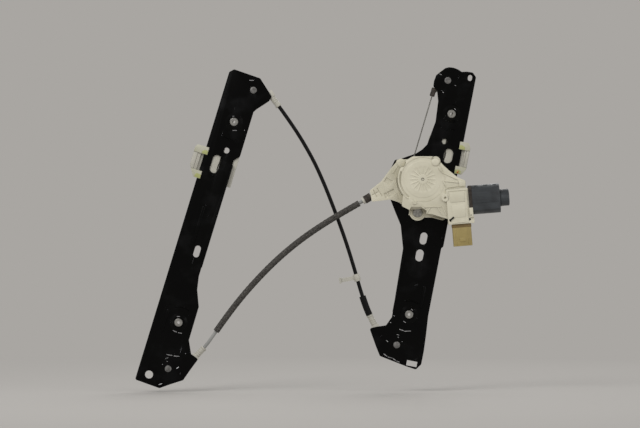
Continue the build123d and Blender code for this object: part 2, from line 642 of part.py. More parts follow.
outlet = (points_a[0] - start_a).length
last_a = path_a.length - (touch_lb - points_a[-1]).length
sheath_end = last_a - (points_a[-1] - points_a[-2]).length
collar_end = outlet + COLLAR_LENGTH
ring_end = collar_end + RING_LENGTH
neck_end = ring_end + NECK_GAP
ferrule_a = (last_a + FERRULE_A_START, last_a + FERRULE_A_START + FERRULE_LENGTH)
liner_start = outlet - ARM_SOCKET
parts["conduit_a_liner"] = rope(stretch(path_a, liner_start, ferrule_a[1]), LINER_R, LINER_BORE_R)
parts["conduit_a_sheath"] = rope(stretch(path_a, neck_end, sheath_end), SHEATH_R, LINER_R)
parts["conduit_a_collar"] = rope(stretch(path_a, outlet, collar_end), COLLAR_R, LINER_R)
parts["conduit_a_ring"] = rope(stretch(path_a, collar_end, ring_end), RING_R, LINER_R)
parts["conduit_a_ferrule"] = rope(stretch(path_a, *ferrule_a), FERRULE_R, LINER_R)

first_b = (points_b[0] - touch_lt).length
last_b = path_b.length - (touch_rb - points_b[-1]).length
ferrule_top = (first_b - FERRULE_TOP_START - FERRULE_LENGTH, first_b - FERRULE_TOP_START)
ferrule_low = (last_b + FERRULE_LOW_START, last_b + FERRULE_LOW_START + FERRULE_LENGTH)
sleeve = (ferrule_low[0] - SLEEVE_LENGTH, ferrule_low[0])
clip = (CLIP_SPOT * path_b.length - CLIP_LENGTH / 2, CLIP_SPOT * path_b.length + CLIP_LENGTH / 2)
parts["conduit_b_casing"] = rope(stretch(path_b, ferrule_top[0], ferrule_low[1]), CASING_B_R,
                                 LINER_BORE_R)
parts["conduit_b_ferrules"] = [rope(stretch(path_b, *span), FERRULE_R, CASING_B_R)
                               for span in (ferrule_top, ferrule_low)]
parts["conduit_b_sleeve"] = rope(stretch(path_b, *sleeve), SLEEVE_R, CASING_B_R)
clip_path = stretch(path_b, *clip)
clip_mid = clip_path @ 0.5
clip_body = rope(clip_path, CLIP_R, CASING_B_R)
half_arm, half_foot = CLIP_ARM_THICK / 2, CLIP_FOOT_THICK / 2
clip_arm = block(-CLIP_ARM, -CASING_B_R - 0.5, -half_arm, half_arm, -half_arm * 2, half_arm * 2)
clip_arm += block(-CLIP_ARM, -CLIP_ARM + CLIP_ARM_THICK, -half_foot, half_foot,
                  -CLIP_FOOT_HALF, CLIP_FOOT_HALF)
clip_arm = Pos(clip_mid) * Rot(0, CLIP_ARM_TURN, 0) * clip_arm
clip_arm -= rope(stretch(path_b, clip[0] - 5, clip[1] + 5), CASING_B_R)
parts["conduit_b_clip"] = clip_body + clip_arm

# ---- pulley guards --------------------------------------------------------------------------
holder_a = (path_a @ ((ferrule_a[1] - FERRULE_HOLD) / path_a.length),
            path_a @ (ferrule_a[1] / path_a.length))
holder_top = (path_b @ (ferrule_top[0] / path_b.length),
              path_b @ ((ferrule_top[0] + FERRULE_HOLD) / path_b.length))
holder_low = (path_b @ ((ferrule_low[1] - FERRULE_HOLD) / path_b.length),
              path_b @ (ferrule_low[1] / path_b.length))
guard_plan = {
    "left_top": ([(-25.0, 8.0), (6.0, -24.0)], [holder_top]),
    "left_bottom": ([(-12.0, -22.0), (4.0, 25.0)], [holder_a]),
    "right_top": ([(-24.0, 9.0), (-22.0, -12.0)], []),
    "right_bottom": ([(20.0, -14.0), (-23.0, 4.0)], [holder_low]),
}
for spot, (offsets, holders) in guard_plan.items():
    frame, (x, z) = pulley_spots[spot]
    way = INWARD[spot.split("_")[0]]
    feet = [place(frame, x + way * dx, 0, z + dz) for dx, dz in offsets]
    parts[f"{spot}_guard"] = guard(pulley_centres[spot], feet, holders)

# The bare cable leaves the right head through a bush on an arm of that guard.
bush_start = upper_lean @ (BUSH_FROM / upper_lean.length)
bush_end = upper_lean @ ((BUSH_FROM + CABLE_BUSH_LENGTH) / upper_lean.length)
bush_mid = (bush_start + bush_end) / 2
bush = rod(bush_start, bush_end, CABLE_BUSH_R)
bush += disc(bush_mid.X, bush_mid.Z, CABLE_BUSH_R - 0.4, bush_mid.Y, guard_back)
bush += arm_between(c_rt, bush_mid, CABLE_BUSH_R - 0.4, guard_front, guard_back)
bush -= disc(c_rt.X, c_rt.Z, RIVET_R, guard_front - 1, guard_back + 1)
bush -= rod(bush_start * 2 - bush_end, bush_end * 2 - bush_start, LINER_BORE_R)
parts["right_top_guard"] += bush


# ---- sliders --------------------------------------------------------------------------------
carrier_front = web_back + SLIDE_GAP
carrier_back = web_back + SLIDE_GAP + SLIDER_DEPTH
slot_back = carrier_back + GLASS_SLOT
jaw_back = slot_back + JAW_THICK


def side_outline(top, reach, upper, lower, foot):
    """The slider's outer side past the guide edge, front to back."""
    outline = Polygon((HOOK_LIP, SLIDER_HALF), (-top, SLIDER_HALF), (-reach, upper),
                      (-reach, lower), (-foot, -SLIDER_HALF), (HOOK_LIP, -SLIDER_HALF),
                      align=None)
    return plate(outline, -HOOK_THICK - 1, carrier_back + 1)


def slider(side, outline, cable_inset):
    """The pieces of a slider, in the rail's frame with its middle at z = 0, for a rail whose web
    lies toward +X of the guide edge; mirrored for the other."""
    seat = block(-HOOK_WALL, SLIDER_REACH, carrier_front, carrier_back, -SLIDER_HALF, SLIDER_HALF)
    reach = outline[1]
    side_shape = side_outline(*outline)
    seat += side_shape & block(-reach, -HOOK_WALL, -HOOK_THICK / 2, carrier_back,
                               -SLIDER_HALF + HOOK_HEIGHT, SLIDER_HALF - HOOK_HEIGHT)
    seat += block(JAW_INSET, JAW_INSET + JAW_WIDTH, carrier_back, slot_back,
                  -SLIDER_HALF, -SLIDER_HALF + SHELF_HEIGHT)
    half_slot = CABLE_R + 2 * FREE_GAP
    channel_back = CABLE_Y + NIPPLE_R + FREE_GAP
    seat -= block(cable_inset - half_slot, cable_inset + half_slot, carrier_front - 1,
                  channel_back, -SLIDER_HALF - 1, SLIDER_HALF + 1)
    pocket = Pos(cable_inset, CABLE_Y, 0) * Cylinder(NIPPLE_R, NIPPLE_LENGTH)
    pocket += block(cable_inset - NIPPLE_R, cable_inset + NIPPLE_R, carrier_front - 1, CABLE_Y,
                    -half_nipple, half_nipple)
    seat -= pocket
    screw_z = -SLIDER_HALF + SHELF_HEIGHT / 2
    screw_front = carrier_back - CLAMP_THREAD
    hole = disc(CLAMP_SCREW_INSET, screw_z, CLAMP_SCREW_R, screw_front, jaw_back + 1)
    seat -= hole
    jaw = block(JAW_INSET, JAW_INSET + JAW_WIDTH, slot_back, jaw_back, -SLIDER_HALF, JAW_TOP)
    jaw -= hole
    screw = disc(CLAMP_SCREW_INSET, screw_z, CLAMP_SCREW_R, screw_front, jaw_back)
    head = Pos(CLAMP_SCREW_INSET, screw_z) * RegularPolygon(CLAMP_HEAD_R, 6)
    screw += plate(head, jaw_back, jaw_back + CLAMP_HEAD_THICK)
    nipple = Pos(cable_inset, CABLE_Y, 0) * Cylinder(NIPPLE_R, NIPPLE_LENGTH)
    nipple -= Pos(cable_inset, CABLE_Y, 0) * Cylinder(CABLE_R + FREE_GAP, NIPPLE_LENGTH + 2)
    hooks = []
    for sign in (-1, 1):
        low, high = sorted((sign * (SLIDER_HALF - HOOK_HEIGHT), sign * SLIDER_HALF))
        hook = side_shape & block(-reach, -HOOK_WALL, -HOOK_THICK - SLIDE_GAP, carrier_back,
                                  low, high)
        hook += block(-HOOK_WALL, HOOK_LIP, -HOOK_THICK - SLIDE_GAP, -SLIDE_GAP, low, high)
        hook += block(-HOOK_WALL, -SLIDE_GAP, -SLIDE_GAP, carrier_front, low, high)
        front = hook.edges().filter_by(Axis.Z).group_by(Axis.Y)[0]
        hooks.append(fillet(front, HOOK_THICK / 3))
    made = {"carrier": [seat], "guide_hooks": hooks, "glass_jaw": [jaw],
            "clamp_screw": [screw], "cable_nipple": [nipple]}
    if INWARD[side] < 0:
        made = {name: [mirror(s, Plane.YZ) for s in solids] for name, solids in made.items()}
    return made


slider_plan = {
    "left": (left_frame, LEFT_SLIDER_RISE, LEFT_SIDE, left_cable_inset),
    "right": (right_frame, RIGHT_SLIDER_RISE, RIGHT_SIDE, right_cable_inset),
}
for side, (frame, rise, outline, inset) in slider_plan.items():
    for name, solids in slider(side, outline, inset).items():
        parts[f"{side}_{name}"] = [frame * Pos(0, 0, rise) * s for s in solids]


# ---- lower stops ----------------------------------------------------------------------------
def stop(side, rise):
    top = rise - SLIDER_HALF - TRAVEL_DOWN - FREE_GAP
    x0, x1 = sorted((INWARD[side] * STOP_INSET, INWARD[side] * (STOP_INSET + STOP_WIDTH)))
    return block(x0, x1, web_back, web_back + STOP_DEPTH, top - STOP_HEIGHT, top)


parts["lower_stops"] = [left_frame * stop("left", LEFT_SLIDER_RISE),
                        right_frame * stop("right", RIGHT_SLIDER_RISE)]


# ---- drive unit, drum side ------------------------------------------------------------------
def around(points):
    """An outline whose points are measured from the drum's axis."""
    return Polygon(*points, align=None)


def cable_way(start, end, radius):
    """A round way through the housing, past both ends of a straight cable."""
    return rod(start - (end - start).normalized() * 4, end, radius)


def screw_bay(radius):
    """A round outline at the main screw, cut off where the gear case closes over it."""
    x, z = SCREW_BOSS
    closed = Pos(x, BAY_TOP + SCREW_BOSS_R) * Rectangle(4 * SCREW_BOSS_R, 2 * SCREW_BOSS_R)
    return Pos(x, z) * Circle(radius) - closed


drum_pocket_r = DRUM_FLANGE_R + DRUM_POCKET_GAP
way_r = CABLE_R + WAY_GAP
above = Pos(0, CASE_TOP + CASE_R) * Rectangle(2 * CASE_R, 2 * CASE_R)
gear_outline = Circle(CASE_R) - above + fillet(around(GEAR_CASE).vertices(), CASE_ROUND)
case = plate(fillet(around(DRUM_CASE).vertices(), CASE_ROUND), DRUM_CASE_FRONT, 0)
case += plate(fillet(around(ARM).vertices(), ARM_ROUND), ARM_FRONT, ARM_BACK)
case -= plate(gear_outline, ARM_FRONT - 1, DRUM_CASE_FRONT)
for x, z, radius, head in BOSSES:
    case += disc(x, z, radius, DRUM_CASE_FRONT - BOSS_HEIGHT, 0)
case += plate(screw_bay(SCREW_BOSS_R), DRUM_CASE_FRONT - SCREW_BOSS_HEIGHT, 0)
case -= disc(0, 0, drum_pocket_r, DRUM_CASE_FRONT - 5, -CASE_WALL)
case -= disc(0, 0, AXLE_R, -CASE_WALL - 1, 1)
for x, z, length, height, turn in CELLS:
    cell = Pos(x, z) * Rot(0, 0, turn) * RectangleRounded(length, height, CELL_ROUND)
    case -= plate(cell, ARM_FRONT - 1, ARM_FRONT + CELL_DEPTH)
case = drum_place * case
case -= cable_way(start_a, points_a[0], way_r)
case -= rod(toward(points_a[0], start_a, ARM_SOCKET), toward(points_a[0], start_a, -1),
            LINER_R + FREE_GAP)
case -= rod(toward(points_a[0], start_a, 1), toward(points_a[0], start_a, -COLLAR_LENGTH),
            COLLAR_R + FREE_GAP)
case -= rod(end_drum, toward(end_drum, lean_from, WAY_OUT), way_r)
gear_floor = DRUM_CASE_FRONT - CASE_WALL


small_screws = []
for x, z, radius, head in BOSSES:
    shank = disc(x, z, SMALL_SCREW_R, -SMALL_SCREW_LENGTH, web_back - SMALL_HEAD_THICK)
    screw = drum_place * (shank + disc(x, z, head, web_back - SMALL_HEAD_THICK, web_back))
    small_screws.append(screw)
    case -= screw
    parts["right_rail"] -= drum_place * disc(x, z, head, -1, web_back + 1)
sx, sz = SCREW_BOSS
boss_front = DRUM_CASE_FRONT - SCREW_BOSS_HEIGHT
main_screw = drum_place * (disc(sx, sz, SCREW_R, boss_front, web_back)
                           + disc(sx, sz, SCREW_HEAD_R, boss_front - SCREW_HEAD_THICK, boss_front)
                           - plate(Pos(sx, sz) * RegularPolygon(SCREW_SOCKET_R, 6),
                                   boss_front - SCREW_HEAD_THICK - 1,
                                   boss_front - SCREW_HEAD_THICK + SCREW_SOCKET_DEPTH))
case -= drum_place * disc(sx, sz, SCREW_R, boss_front - 1, 1)
parts["right_rail"] -= drum_place * disc(sx, sz, SCREW_R, -1, web_back + 1)
parts["drum_housing"] = case
parts["housing_screws"] = small_screws + [main_screw]

hub_front = SHAFT_Y - WHEEL_HUB_WIDTH / 2
hub_back = SHAFT_Y + WHEEL_HUB_WIDTH / 2
core_r = DRUM_PITCH_R - CABLE_R - 0.05
drum = disc(0, 0, core_r, DRUM_FRONT, DRUM_BACK)
drum += disc(0, 0, DRUM_FLANGE_R, DRUM_FRONT, DRUM_FRONT + DRUM_FLANGE_THICK)
drum += disc(0, 0, DRUM_FLANGE_R, DRUM_BACK - DRUM_FLANGE_THICK, DRUM_BACK)
drum += disc(0, 0, NECK_R, hub_back, DRUM_FRONT)
drum -= disc(0, 0, AXLE_R + RUNNING_GAP, hub_front, 0)
parts["cable_drum"] = drum_place * drum
parts["wound_cable"] = [
    drum_place * Pos(0, y, 0) * Rot(90, 0, 0) * Torus(DRUM_PITCH_R, CABLE_R) for y in drum_ways
]
cover_back = GEAR_CASE_FRONT + COVER_THICK
parts["drum_axle"] = drum_place * disc(0, 0, AXLE_R, cover_back, 0)

# ---- gear side ------------------------------------------------------------------------------
wheel_front = SHAFT_Y - WHEEL_WIDTH / 2
wheel_back = SHAFT_Y + WHEEL_WIDTH / 2
root_r = WHEEL_PITCH_R - TOOTH_IN
tip_r = WHEEL_PITCH_R + TOOTH_OUT
lead = 2 * math.pi * WHEEL_PITCH_R / GEAR_TEETH


def tooth_outline():
    """The wheel's rim, with a gap between two teeth at its lowest point."""
    root, tip = TOOTH_ROOT_HALF, TOOTH_TIP_HALF
    points = []
    for k in range(GEAR_TEETH):
        middle = math.radians(-90 + 360 / GEAR_TEETH * (k + 0.5))
        for radius, offset in ((root_r, -root), (tip_r, -tip), (tip_r, tip), (root_r, root)):
            angle = middle + offset / radius
            points.append((radius * math.cos(angle), radius * math.sin(angle)))
    return Polygon(*points, align=None)


wheel = plate(tooth_outline(), wheel_front, wheel_back)
wheel -= disc(0, 0, DAMPER_R, wheel_front - 1, wheel_back - WHEEL_WEB)
wheel += disc(0, 0, DAMPER_HOLE_R, hub_front, hub_back)
wheel -= disc(0, 0, AXLE_R + RUNNING_GAP, hub_front - 1, hub_back + 1)
parts["worm_wheel"] = drum_place * wheel
parts["wheel_damper"] = drum_place * plate(Circle(DAMPER_R) - Circle(DAMPER_HOLE_R),
                                           wheel_front, wheel_back - WHEEL_WEB)



def ray(bearing):
    """A point beyond the gear case, in that direction from the drum's axis."""
    angle = math.radians(bearing)
    return 2 * CASE_R * math.cos(angle), 2 * CASE_R * math.sin(angle)


def lathe(start, end, radius):
    """A round bar on the motor's shaft, between two distances along it."""
    return Pos((start + end) / 2, 0, 0) * Rot(0, 90, 0) * Cylinder(radius, end - start)


tunnel_r = WORM_TIP_R + WORM_GAP
tunnel_end = -(WORM_TURNS / 2 * lead + TUNNEL_SPARE)
bush_seat = BOX_START - BUSH_LENGTH
far_end = CAN_R + CAN_LENGTH + BOX_END
gear_case = plate(gear_outline, GEAR_CASE_FRONT, DRUM_CASE_FRONT)
for x, z, radius in PIMPLES:
    gear_case += disc(x, z, radius, GEAR_CASE_FRONT - PIMPLE_HEIGHT, GEAR_CASE_FRONT)
gear_case -= plate(screw_bay(SCREW_BOSS_R + FREE_GAP), GEAR_CASE_FRONT - 1, 0)
start, end = GROOVE_BEARINGS
groove = Circle(GROOVE_R) - Circle(COVER_R)
groove &= Polygon((0, 0), ray(start), ray((2 * start + end) / 3), ray((start + 2 * end) / 3),
                  ray(end), align=None)
gear_case -= plate(groove, GEAR_CASE_FRONT - 1, GEAR_CASE_FRONT + GROOVE_DEPTH)
for x, z, radius, head in BOSSES:
    gear_case -= disc(x, z, radius + FREE_GAP, GEAR_CASE_FRONT - 1, 0)
gear_case = drum_place * gear_case
gear_case += motor_place * lathe(tunnel_end - BUSH_LENGTH - CASE_WALL, bush_seat,
                                 tunnel_r + TUNNEL_WALL)
gear_case -= drum_place * disc(0, 0, COVER_R, GEAR_CASE_FRONT - 1, gear_floor)
gear_case -= drum_place * disc(0, 0, NECK_R + FREE_GAP, gear_floor - 1, 0)
gear_case -= motor_place * block(BOX_START, far_end, -far_end, far_end, -far_end,
                                 BOX_TOP + FREE_GAP)
gear_case -= motor_place * lathe(tunnel_end, bush_seat, tunnel_r)
gear_case -= motor_place * lathe(bush_seat - 1, BOX_START + 1, BUSH_R)
gear_case -= motor_place * lathe(tunnel_end - BUSH_LENGTH, tunnel_end + 1, BUSH_R)
parts["gear_housing"] = gear_case
cover = disc(0, 0, COVER_R, GEAR_CASE_FRONT, cover_back)
for k in range(PETALS):
    petal = Rot(0, 0, 360 / PETALS * (k + 0.5)) * Pos(PETAL_MID_R, 0) * SlotOverall(
        PETAL_LENGTH, PETAL_WIDTH)
    cover -= plate(petal, GEAR_CASE_FRONT - 1, GEAR_CASE_FRONT + PETAL_DEPTH)
cover -= disc(0, 0, COVER_CENTRE_R, GEAR_CASE_FRONT - 1, GEAR_CASE_FRONT + PETAL_DEPTH)
parts["gear_cover"] = drum_place * cover

# ---- armature, in the motor frame -----------------------------------------------------------
can_start = BOX_END + GASKET_THICK
can_end = can_start + CAN_LENGTH
shaft_start = tunnel_end - BUSH_LENGTH + FREE_GAP
shaft_end = can_end + BUSH_LENGTH
core_start = can_start + 5.0
worm_half = WORM_TURNS * lead / 2
helix = Helix(pitch=lead, height=2 * worm_half, radius=WORM_PITCH_R,
              center=(0, 0, -worm_half))
thread_face = Plane(helix @ 0, x_dir=(1, 0, 0), z_dir=helix % 0) * Polygon(
    (WORM_ROOT_R - WORM_PITCH_R - 0.3, -WORM_THREAD_ROOT / 2),
    (WORM_TIP_R - WORM_PITCH_R, -WORM_THREAD_TIP / 2),
    (WORM_TIP_R - WORM_PITCH_R, WORM_THREAD_TIP / 2),
    (WORM_ROOT_R - WORM_PITCH_R - 0.3, WORM_THREAD_ROOT / 2), align=None)
thread = sweep(thread_face, path=helix, is_frenet=True)
worm = thread + Cylinder(WORM_ROOT_R, 2 * worm_half + 2)
# The thread faces the wheel at the worm's middle, where the wheel has a gap between teeth.
worm = Rot(0, 90, 0) * Rot(0, 0, WORM_PHASE) * worm
shaft = lathe(shaft_start, shaft_end - FREE_GAP, SHAFT_R) + worm
parts["armature_shaft"] = motor_place * shaft
parts["armature_core"] = motor_place * (
    lathe(core_start, core_start + CORE_LENGTH, CORE_R)
    + lathe(core_start - 3, core_start + CORE_LENGTH + 3, CORE_R - 3)
    - lathe(core_start - 4, core_start + CORE_LENGTH + 4, SHAFT_R))
commutator_end = BOX_END - 5.0
parts["commutator"] = motor_place * (
    lathe(commutator_end - COMMUTATOR_LENGTH, commutator_end, COMMUTATOR_R)
    - lathe(commutator_end - COMMUTATOR_LENGTH - 1, commutator_end + 1, SHAFT_R))

# ---- motor can and its fittings -------------------------------------------------------------
def can_section(shrink, start, end):
    bar = lathe(start, end, CAN_R - shrink)
    deep = CAN_HALF_DEPTH - shrink
    return bar & block(start, end, -deep, deep, -CAN_R, CAN_R)


can = can_section(0, can_start, can_end) + lathe(can_end, can_end + CAN_BOSS_LENGTH, CAN_BOSS_R)
can -= can_section(CAN_WALL, can_start - 1, can_end - CAN_WALL)
can -= lathe(can_end - CAN_WALL - 1, can_end + BUSH_LENGTH + 1, BUSH_R)
parts["motor_can"] = motor_place * can
magnet_start = core_start - MAGNET_OVERHANG
magnet_end = core_start + CORE_LENGTH + MAGNET_OVERHANG
inner = CORE_R + MAGNET_GAP
wide = (CAN_R - CAN_WALL) * math.tan(math.radians(MAGNET_HALF_ANGLE))
wedge_up = Plane.YZ.offset(magnet_start) * Polygon((0, 0), (wide, CAN_R), (-wide, CAN_R), align=None)
wedge = extrude(wedge_up, amount=magnet_end - magnet_start)
magnet = (lathe(magnet_start, magnet_end, CAN_R - CAN_WALL) - lathe(magnet_start, magnet_end, inner))
magnet = magnet & wedge & can_section(CAN_WALL, magnet_start, magnet_end)
parts["motor_magnets"] = [motor_place * magnet, motor_place * Rot(180, 0, 0) * magnet]
gasket = can_section(0, BOX_END, can_start) - can_section(GASKET_WALL, BOX_END - 1, can_start + 1)
parts["motor_gasket"] = motor_place * gasket


def bush(start):
    return motor_place * (lathe(start, start + BUSH_LENGTH, BUSH_R)
                          - lathe(start - 1, start + BUSH_LENGTH + 1, SHAFT_R + RUNNING_GAP))


parts["shaft_bushes"] = [bush(tunnel_end - BUSH_LENGTH), bush(BOX_START - BUSH_LENGTH), bush(can_end)]

# ---- electronics box, in the motor frame ----------------------------------------------------
front_y = BOX_FRONT - SHAFT_Y
back_y = BOX_BACK - SHAFT_Y
box = block(BOX_START, BOX_END, front_y, back_y, BOX_BOTTOM, BOX_TOP)
box += block(BOX_END, BOX_END + BOX_FOOT, front_y, back_y, BOX_BOTTOM, -CAN_R - BOX_STEP)
box = fillet(box.edges().filter_by(Axis.Y), 1.5)
box -= block(BOX_START + CASE_WALL, BOX_END - CASE_WALL, front_y + CASE_WALL, back_y + 1,
             BOX_BOTTOM + CASE_WALL, BOX_TOP - CASE_WALL)
box -= lathe(BOX_START - 1, BOX_START + CASE_WALL + 1, SHAFT_R + SHAFT_CLEARANCE)
box -= lathe(BOX_END - CASE_WALL - 1, BOX_END + 1, HOLDER_R)
parts["electronics_housing"] = motor_place * box
lid = block(BOX_START + CASE_WALL, BOX_END - CASE_WALL, back_y - LID_THICK, back_y,
            BOX_BOTTOM + CASE_WALL, BOX_TOP - CASE_WALL)
parts["electronics_lid"] = motor_place * lid
holder = lathe(BOX_END - CASE_WALL, BOX_END, HOLDER_R) - lathe(BOX_END - 4, BOX_END + 1, SHAFT_R + 1)
brush_low = COMMUTATOR_R + FREE_GAP
brush_end = commutator_end - 1.5
guide_start = brush_end - BRUSH_WIDTH - 1.0
y0, y1 = BRUSH_HALF_DEPTH, BRUSH_HALF_DEPTH + GUIDE_THICK
brushes = []
for sign in (-1, 1):
    z0, z1 = sorted((sign * brush_low, sign * (brush_low + BRUSH_LENGTH)))
    brush = block(brush_end - BRUSH_WIDTH, brush_end, -y0, y0, z0, z1)
    brushes.append(motor_place * brush)
    holder += block(guide_start, BOX_END - CASE_WALL, y0, y1, z0, z1)
    holder += block(guide_start, BOX_END - CASE_WALL, -y1, -y0, z0, z1)
parts["brush_holder"] = motor_place * holder
parts["brushes"] = brushes
board_y = back_y - BOARD_SET
parts["circuit_board"] = motor_place * (
    block(BOX_START + CASE_WALL, BOX_END - CASE_WALL, board_y - BOARD_THICK, board_y,
          BOX_BOTTOM + CASE_WALL, BOX_TOP - CASE_WALL))
plug_top = BOX_BOTTOM
plug_low = plug_top - PLUG_HEIGHT
plug_y0 = PLUG_FRONT - SHAFT_Y
plug_y1 = plug_y0 + PLUG_DEPTH
plug = block(PLUG_LEFT, PLUG_LEFT + PLUG_WIDTH, plug_y0, plug_y1, plug_low, plug_top)
plug = fillet(plug.edges().filter_by(Axis.Z), 2.0)
plug -= block(PLUG_LEFT + PLUG_WALL, PLUG_LEFT + PLUG_WIDTH - PLUG_WALL, plug_y0 + PLUG_WALL,
              plug_y1 - PLUG_WALL, plug_low - 1, plug_top - PLUG_FLOOR)
pins = []
pin_step = (PLUG_WIDTH - 2 * PLUG_WALL) / (PINS + 1)
pin_y = (plug_y0 + plug_y1) / 2
for k in range(PINS):
    x = PLUG_LEFT + PLUG_WALL + pin_step * (k + 1)
    pin = block(x - PIN_SIZE / 2, x + PIN_SIZE / 2, pin_y - PIN_SIZE / 2, pin_y + PIN_SIZE / 2,
                plug_top - PLUG_FLOOR - PIN_LENGTH, plug_top - 2)
    plug -= pin
    pins.append(motor_place * pin)
parts["plug_socket"] = motor_place * plug
parts["plug_pins"] = pins

# ---- files ----------------------------------------------------------------------------------
os.makedirs("parts", exist_ok=True)
for name, made in parts.items():
    pieces = made if isinstance(made, list) else [made]
    solids = [solid for piece in pieces for solid in piece.solids()]
    export_step(Compound(solids), f"parts/{name}.step")
print(len(parts), "nodes")
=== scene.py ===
"""Window regulator: two steel rails with sliders, two conduits and a geared motor.

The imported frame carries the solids. This script rounds their edges, adds the fine pieces and
gives every surface its finish. Lengths are in millimetres until they meet a mesh.
"""
import json
import math

import bmesh
import bpy
from mathutils import Matrix, Vector


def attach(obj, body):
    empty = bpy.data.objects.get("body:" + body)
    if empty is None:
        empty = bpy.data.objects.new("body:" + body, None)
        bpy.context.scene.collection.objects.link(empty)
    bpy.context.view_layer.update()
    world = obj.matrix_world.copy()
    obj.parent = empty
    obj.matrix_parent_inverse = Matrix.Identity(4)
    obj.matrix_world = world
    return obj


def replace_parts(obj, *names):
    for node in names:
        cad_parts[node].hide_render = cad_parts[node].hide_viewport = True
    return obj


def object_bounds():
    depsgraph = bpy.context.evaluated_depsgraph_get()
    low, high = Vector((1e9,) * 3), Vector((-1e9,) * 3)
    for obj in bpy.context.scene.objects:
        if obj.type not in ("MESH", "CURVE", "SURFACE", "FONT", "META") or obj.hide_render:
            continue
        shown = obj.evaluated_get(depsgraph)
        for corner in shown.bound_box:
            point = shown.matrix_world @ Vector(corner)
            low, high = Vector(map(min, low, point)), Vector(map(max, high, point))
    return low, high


MM = 0.001
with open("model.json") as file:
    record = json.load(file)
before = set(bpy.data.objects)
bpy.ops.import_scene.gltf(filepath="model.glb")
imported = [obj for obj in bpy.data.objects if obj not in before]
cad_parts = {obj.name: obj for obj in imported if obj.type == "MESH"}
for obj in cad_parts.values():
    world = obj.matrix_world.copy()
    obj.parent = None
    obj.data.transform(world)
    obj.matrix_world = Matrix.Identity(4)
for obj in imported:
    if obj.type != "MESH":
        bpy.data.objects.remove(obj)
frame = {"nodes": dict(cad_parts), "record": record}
cad_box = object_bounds()


# ---- places -----------------------------------------------------------------------------------
def shift(x, y, z):
    """A move in millimetres."""
    return Matrix.Translation(Vector((x, y, z)) * MM)


def lean(degrees):
    """A turn about Y, which tips a piece to the right as seen from the motor side."""
    return Matrix.Rotation(math.radians(degrees), 4, "Y")


def rail_place(x, z, degrees, nut):
    """A rail's own place: its foot at zero, with its upper nut brought to the given point."""
    return shift(x, 0, z) @ lean(degrees) @ shift(-nut[0], 0, -nut[1])


LEFT_NUTS = [(28.9, 412.8), (37.4, 100.9)]      # x, z in each rail's own place, upper one first
RIGHT_NUTS = [(-25.7, 373.9), (-31.2, 66.6)]
LEFT_RIVETS = [(42.75, 466.9), (42.75, 29.9)]
RIGHT_HEAD_RIVET = (-40.65, 422.3)
LEFT_LEAN, RIGHT_LEAN, MOTOR_LEAN = 17.03, 10.94, -4.5
LEFT = rail_place(-326.2, -12.0, LEFT_LEAN, LEFT_NUTS[0])
RIGHT = rail_place(0, 0, RIGHT_LEAN, RIGHT_NUTS[0])
DRUM = shift(-44.25, 0, -98.25)                             # on its axle, with Y along it
MOTOR = DRUM @ lean(MOTOR_LEAN) @ shift(0, -26.5, -36.4)    # on its shaft, with X along it
LEFT_SLIDER = LEFT @ shift(0, 0, 340.9)
RIGHT_SLIDER = RIGHT @ shift(0, 0, 311.5)


# ---- materials --------------------------------------------------------------------------------
def linear(code):
    """An sRGB hex colour as linear RGBA."""
    shares = [int(code[i:i + 2], 16) / 255 for i in (0, 2, 4)]
    return [s / 12.92 if s <= 0.04045 else ((s + 0.055) / 1.055) ** 2.4 for s in shares] + [1.0]


def add(tree, kind, inputs=(), **settings):
    """Adds one node with its own settings, and with values or links on its inputs."""
    made = tree.nodes.new(kind)
    for name, value in settings.items():
        setattr(made, name, value)
    for name, value in dict(inputs).items():
        if isinstance(value, bpy.types.NodeSocket):
            tree.links.new(value, made.inputs[name])
        else:
            made.inputs[name].default_value = value
    return made


def surface(name, colour, roughness, **sockets):
    """A material, its tree and its shader, with plain values on the shader's own sockets."""
    material = bpy.data.materials.new(name)
    material.use_nodes = True
    tree = material.node_tree
    shader = tree.nodes["Principled BSDF"]
    values = {"Base Color": linear(colour), "Roughness": roughness}
    for socket, value in sockets.items():
        values[socket.replace("_", " ")] = value
    for socket, value in values.items():
        shader.inputs[socket].default_value = value
    return material, tree, shader


def blotches(tree, size, stretch=(1, 1, 1), turn=0.0, detail=2.0):
    """A cloudy pattern with blotches of that many millimetres, drawn out along a leaning axis."""
    place = add(tree, "ShaderNodeTexCoord")
    scaled = add(tree, "ShaderNodeMapping", {
        "Vector": place.outputs["Object"],
        "Rotation": (0, math.radians(turn), 0),
        "Scale": [size * MM * s for s in stretch],
    }, vector_type="TEXTURE")
    cloud = add(tree, "ShaderNodeTexNoise", {
        "Vector": scaled.outputs["Vector"], "Scale": 1.0, "Detail": detail})
    return cloud.outputs["Fac"]


def patches(tree, size, low, high, most=1.0, **shape):
    """Blotches as a mask: clear below the low value, and as full as it gets above the high one."""
    mask = add(tree, "ShaderNodeMapRange", {
        "Value": blotches(tree, size, **shape), "From Min": low, "From Max": high, "To Max": most})
    return mask.outputs["Result"]


def tool_lines(tree, pitch, stretch):
    """Lines that a tool leaves, square to the motor's shaft or along it: the lines and a mask."""
    lines = blotches(tree, pitch, stretch, MOTOR_LEAN)
    mask = add(tree, "ShaderNodeMapRange", {"Value": lines, "From Min": 0.3, "From Max": 0.7})
    return lines, mask.outputs["Result"]


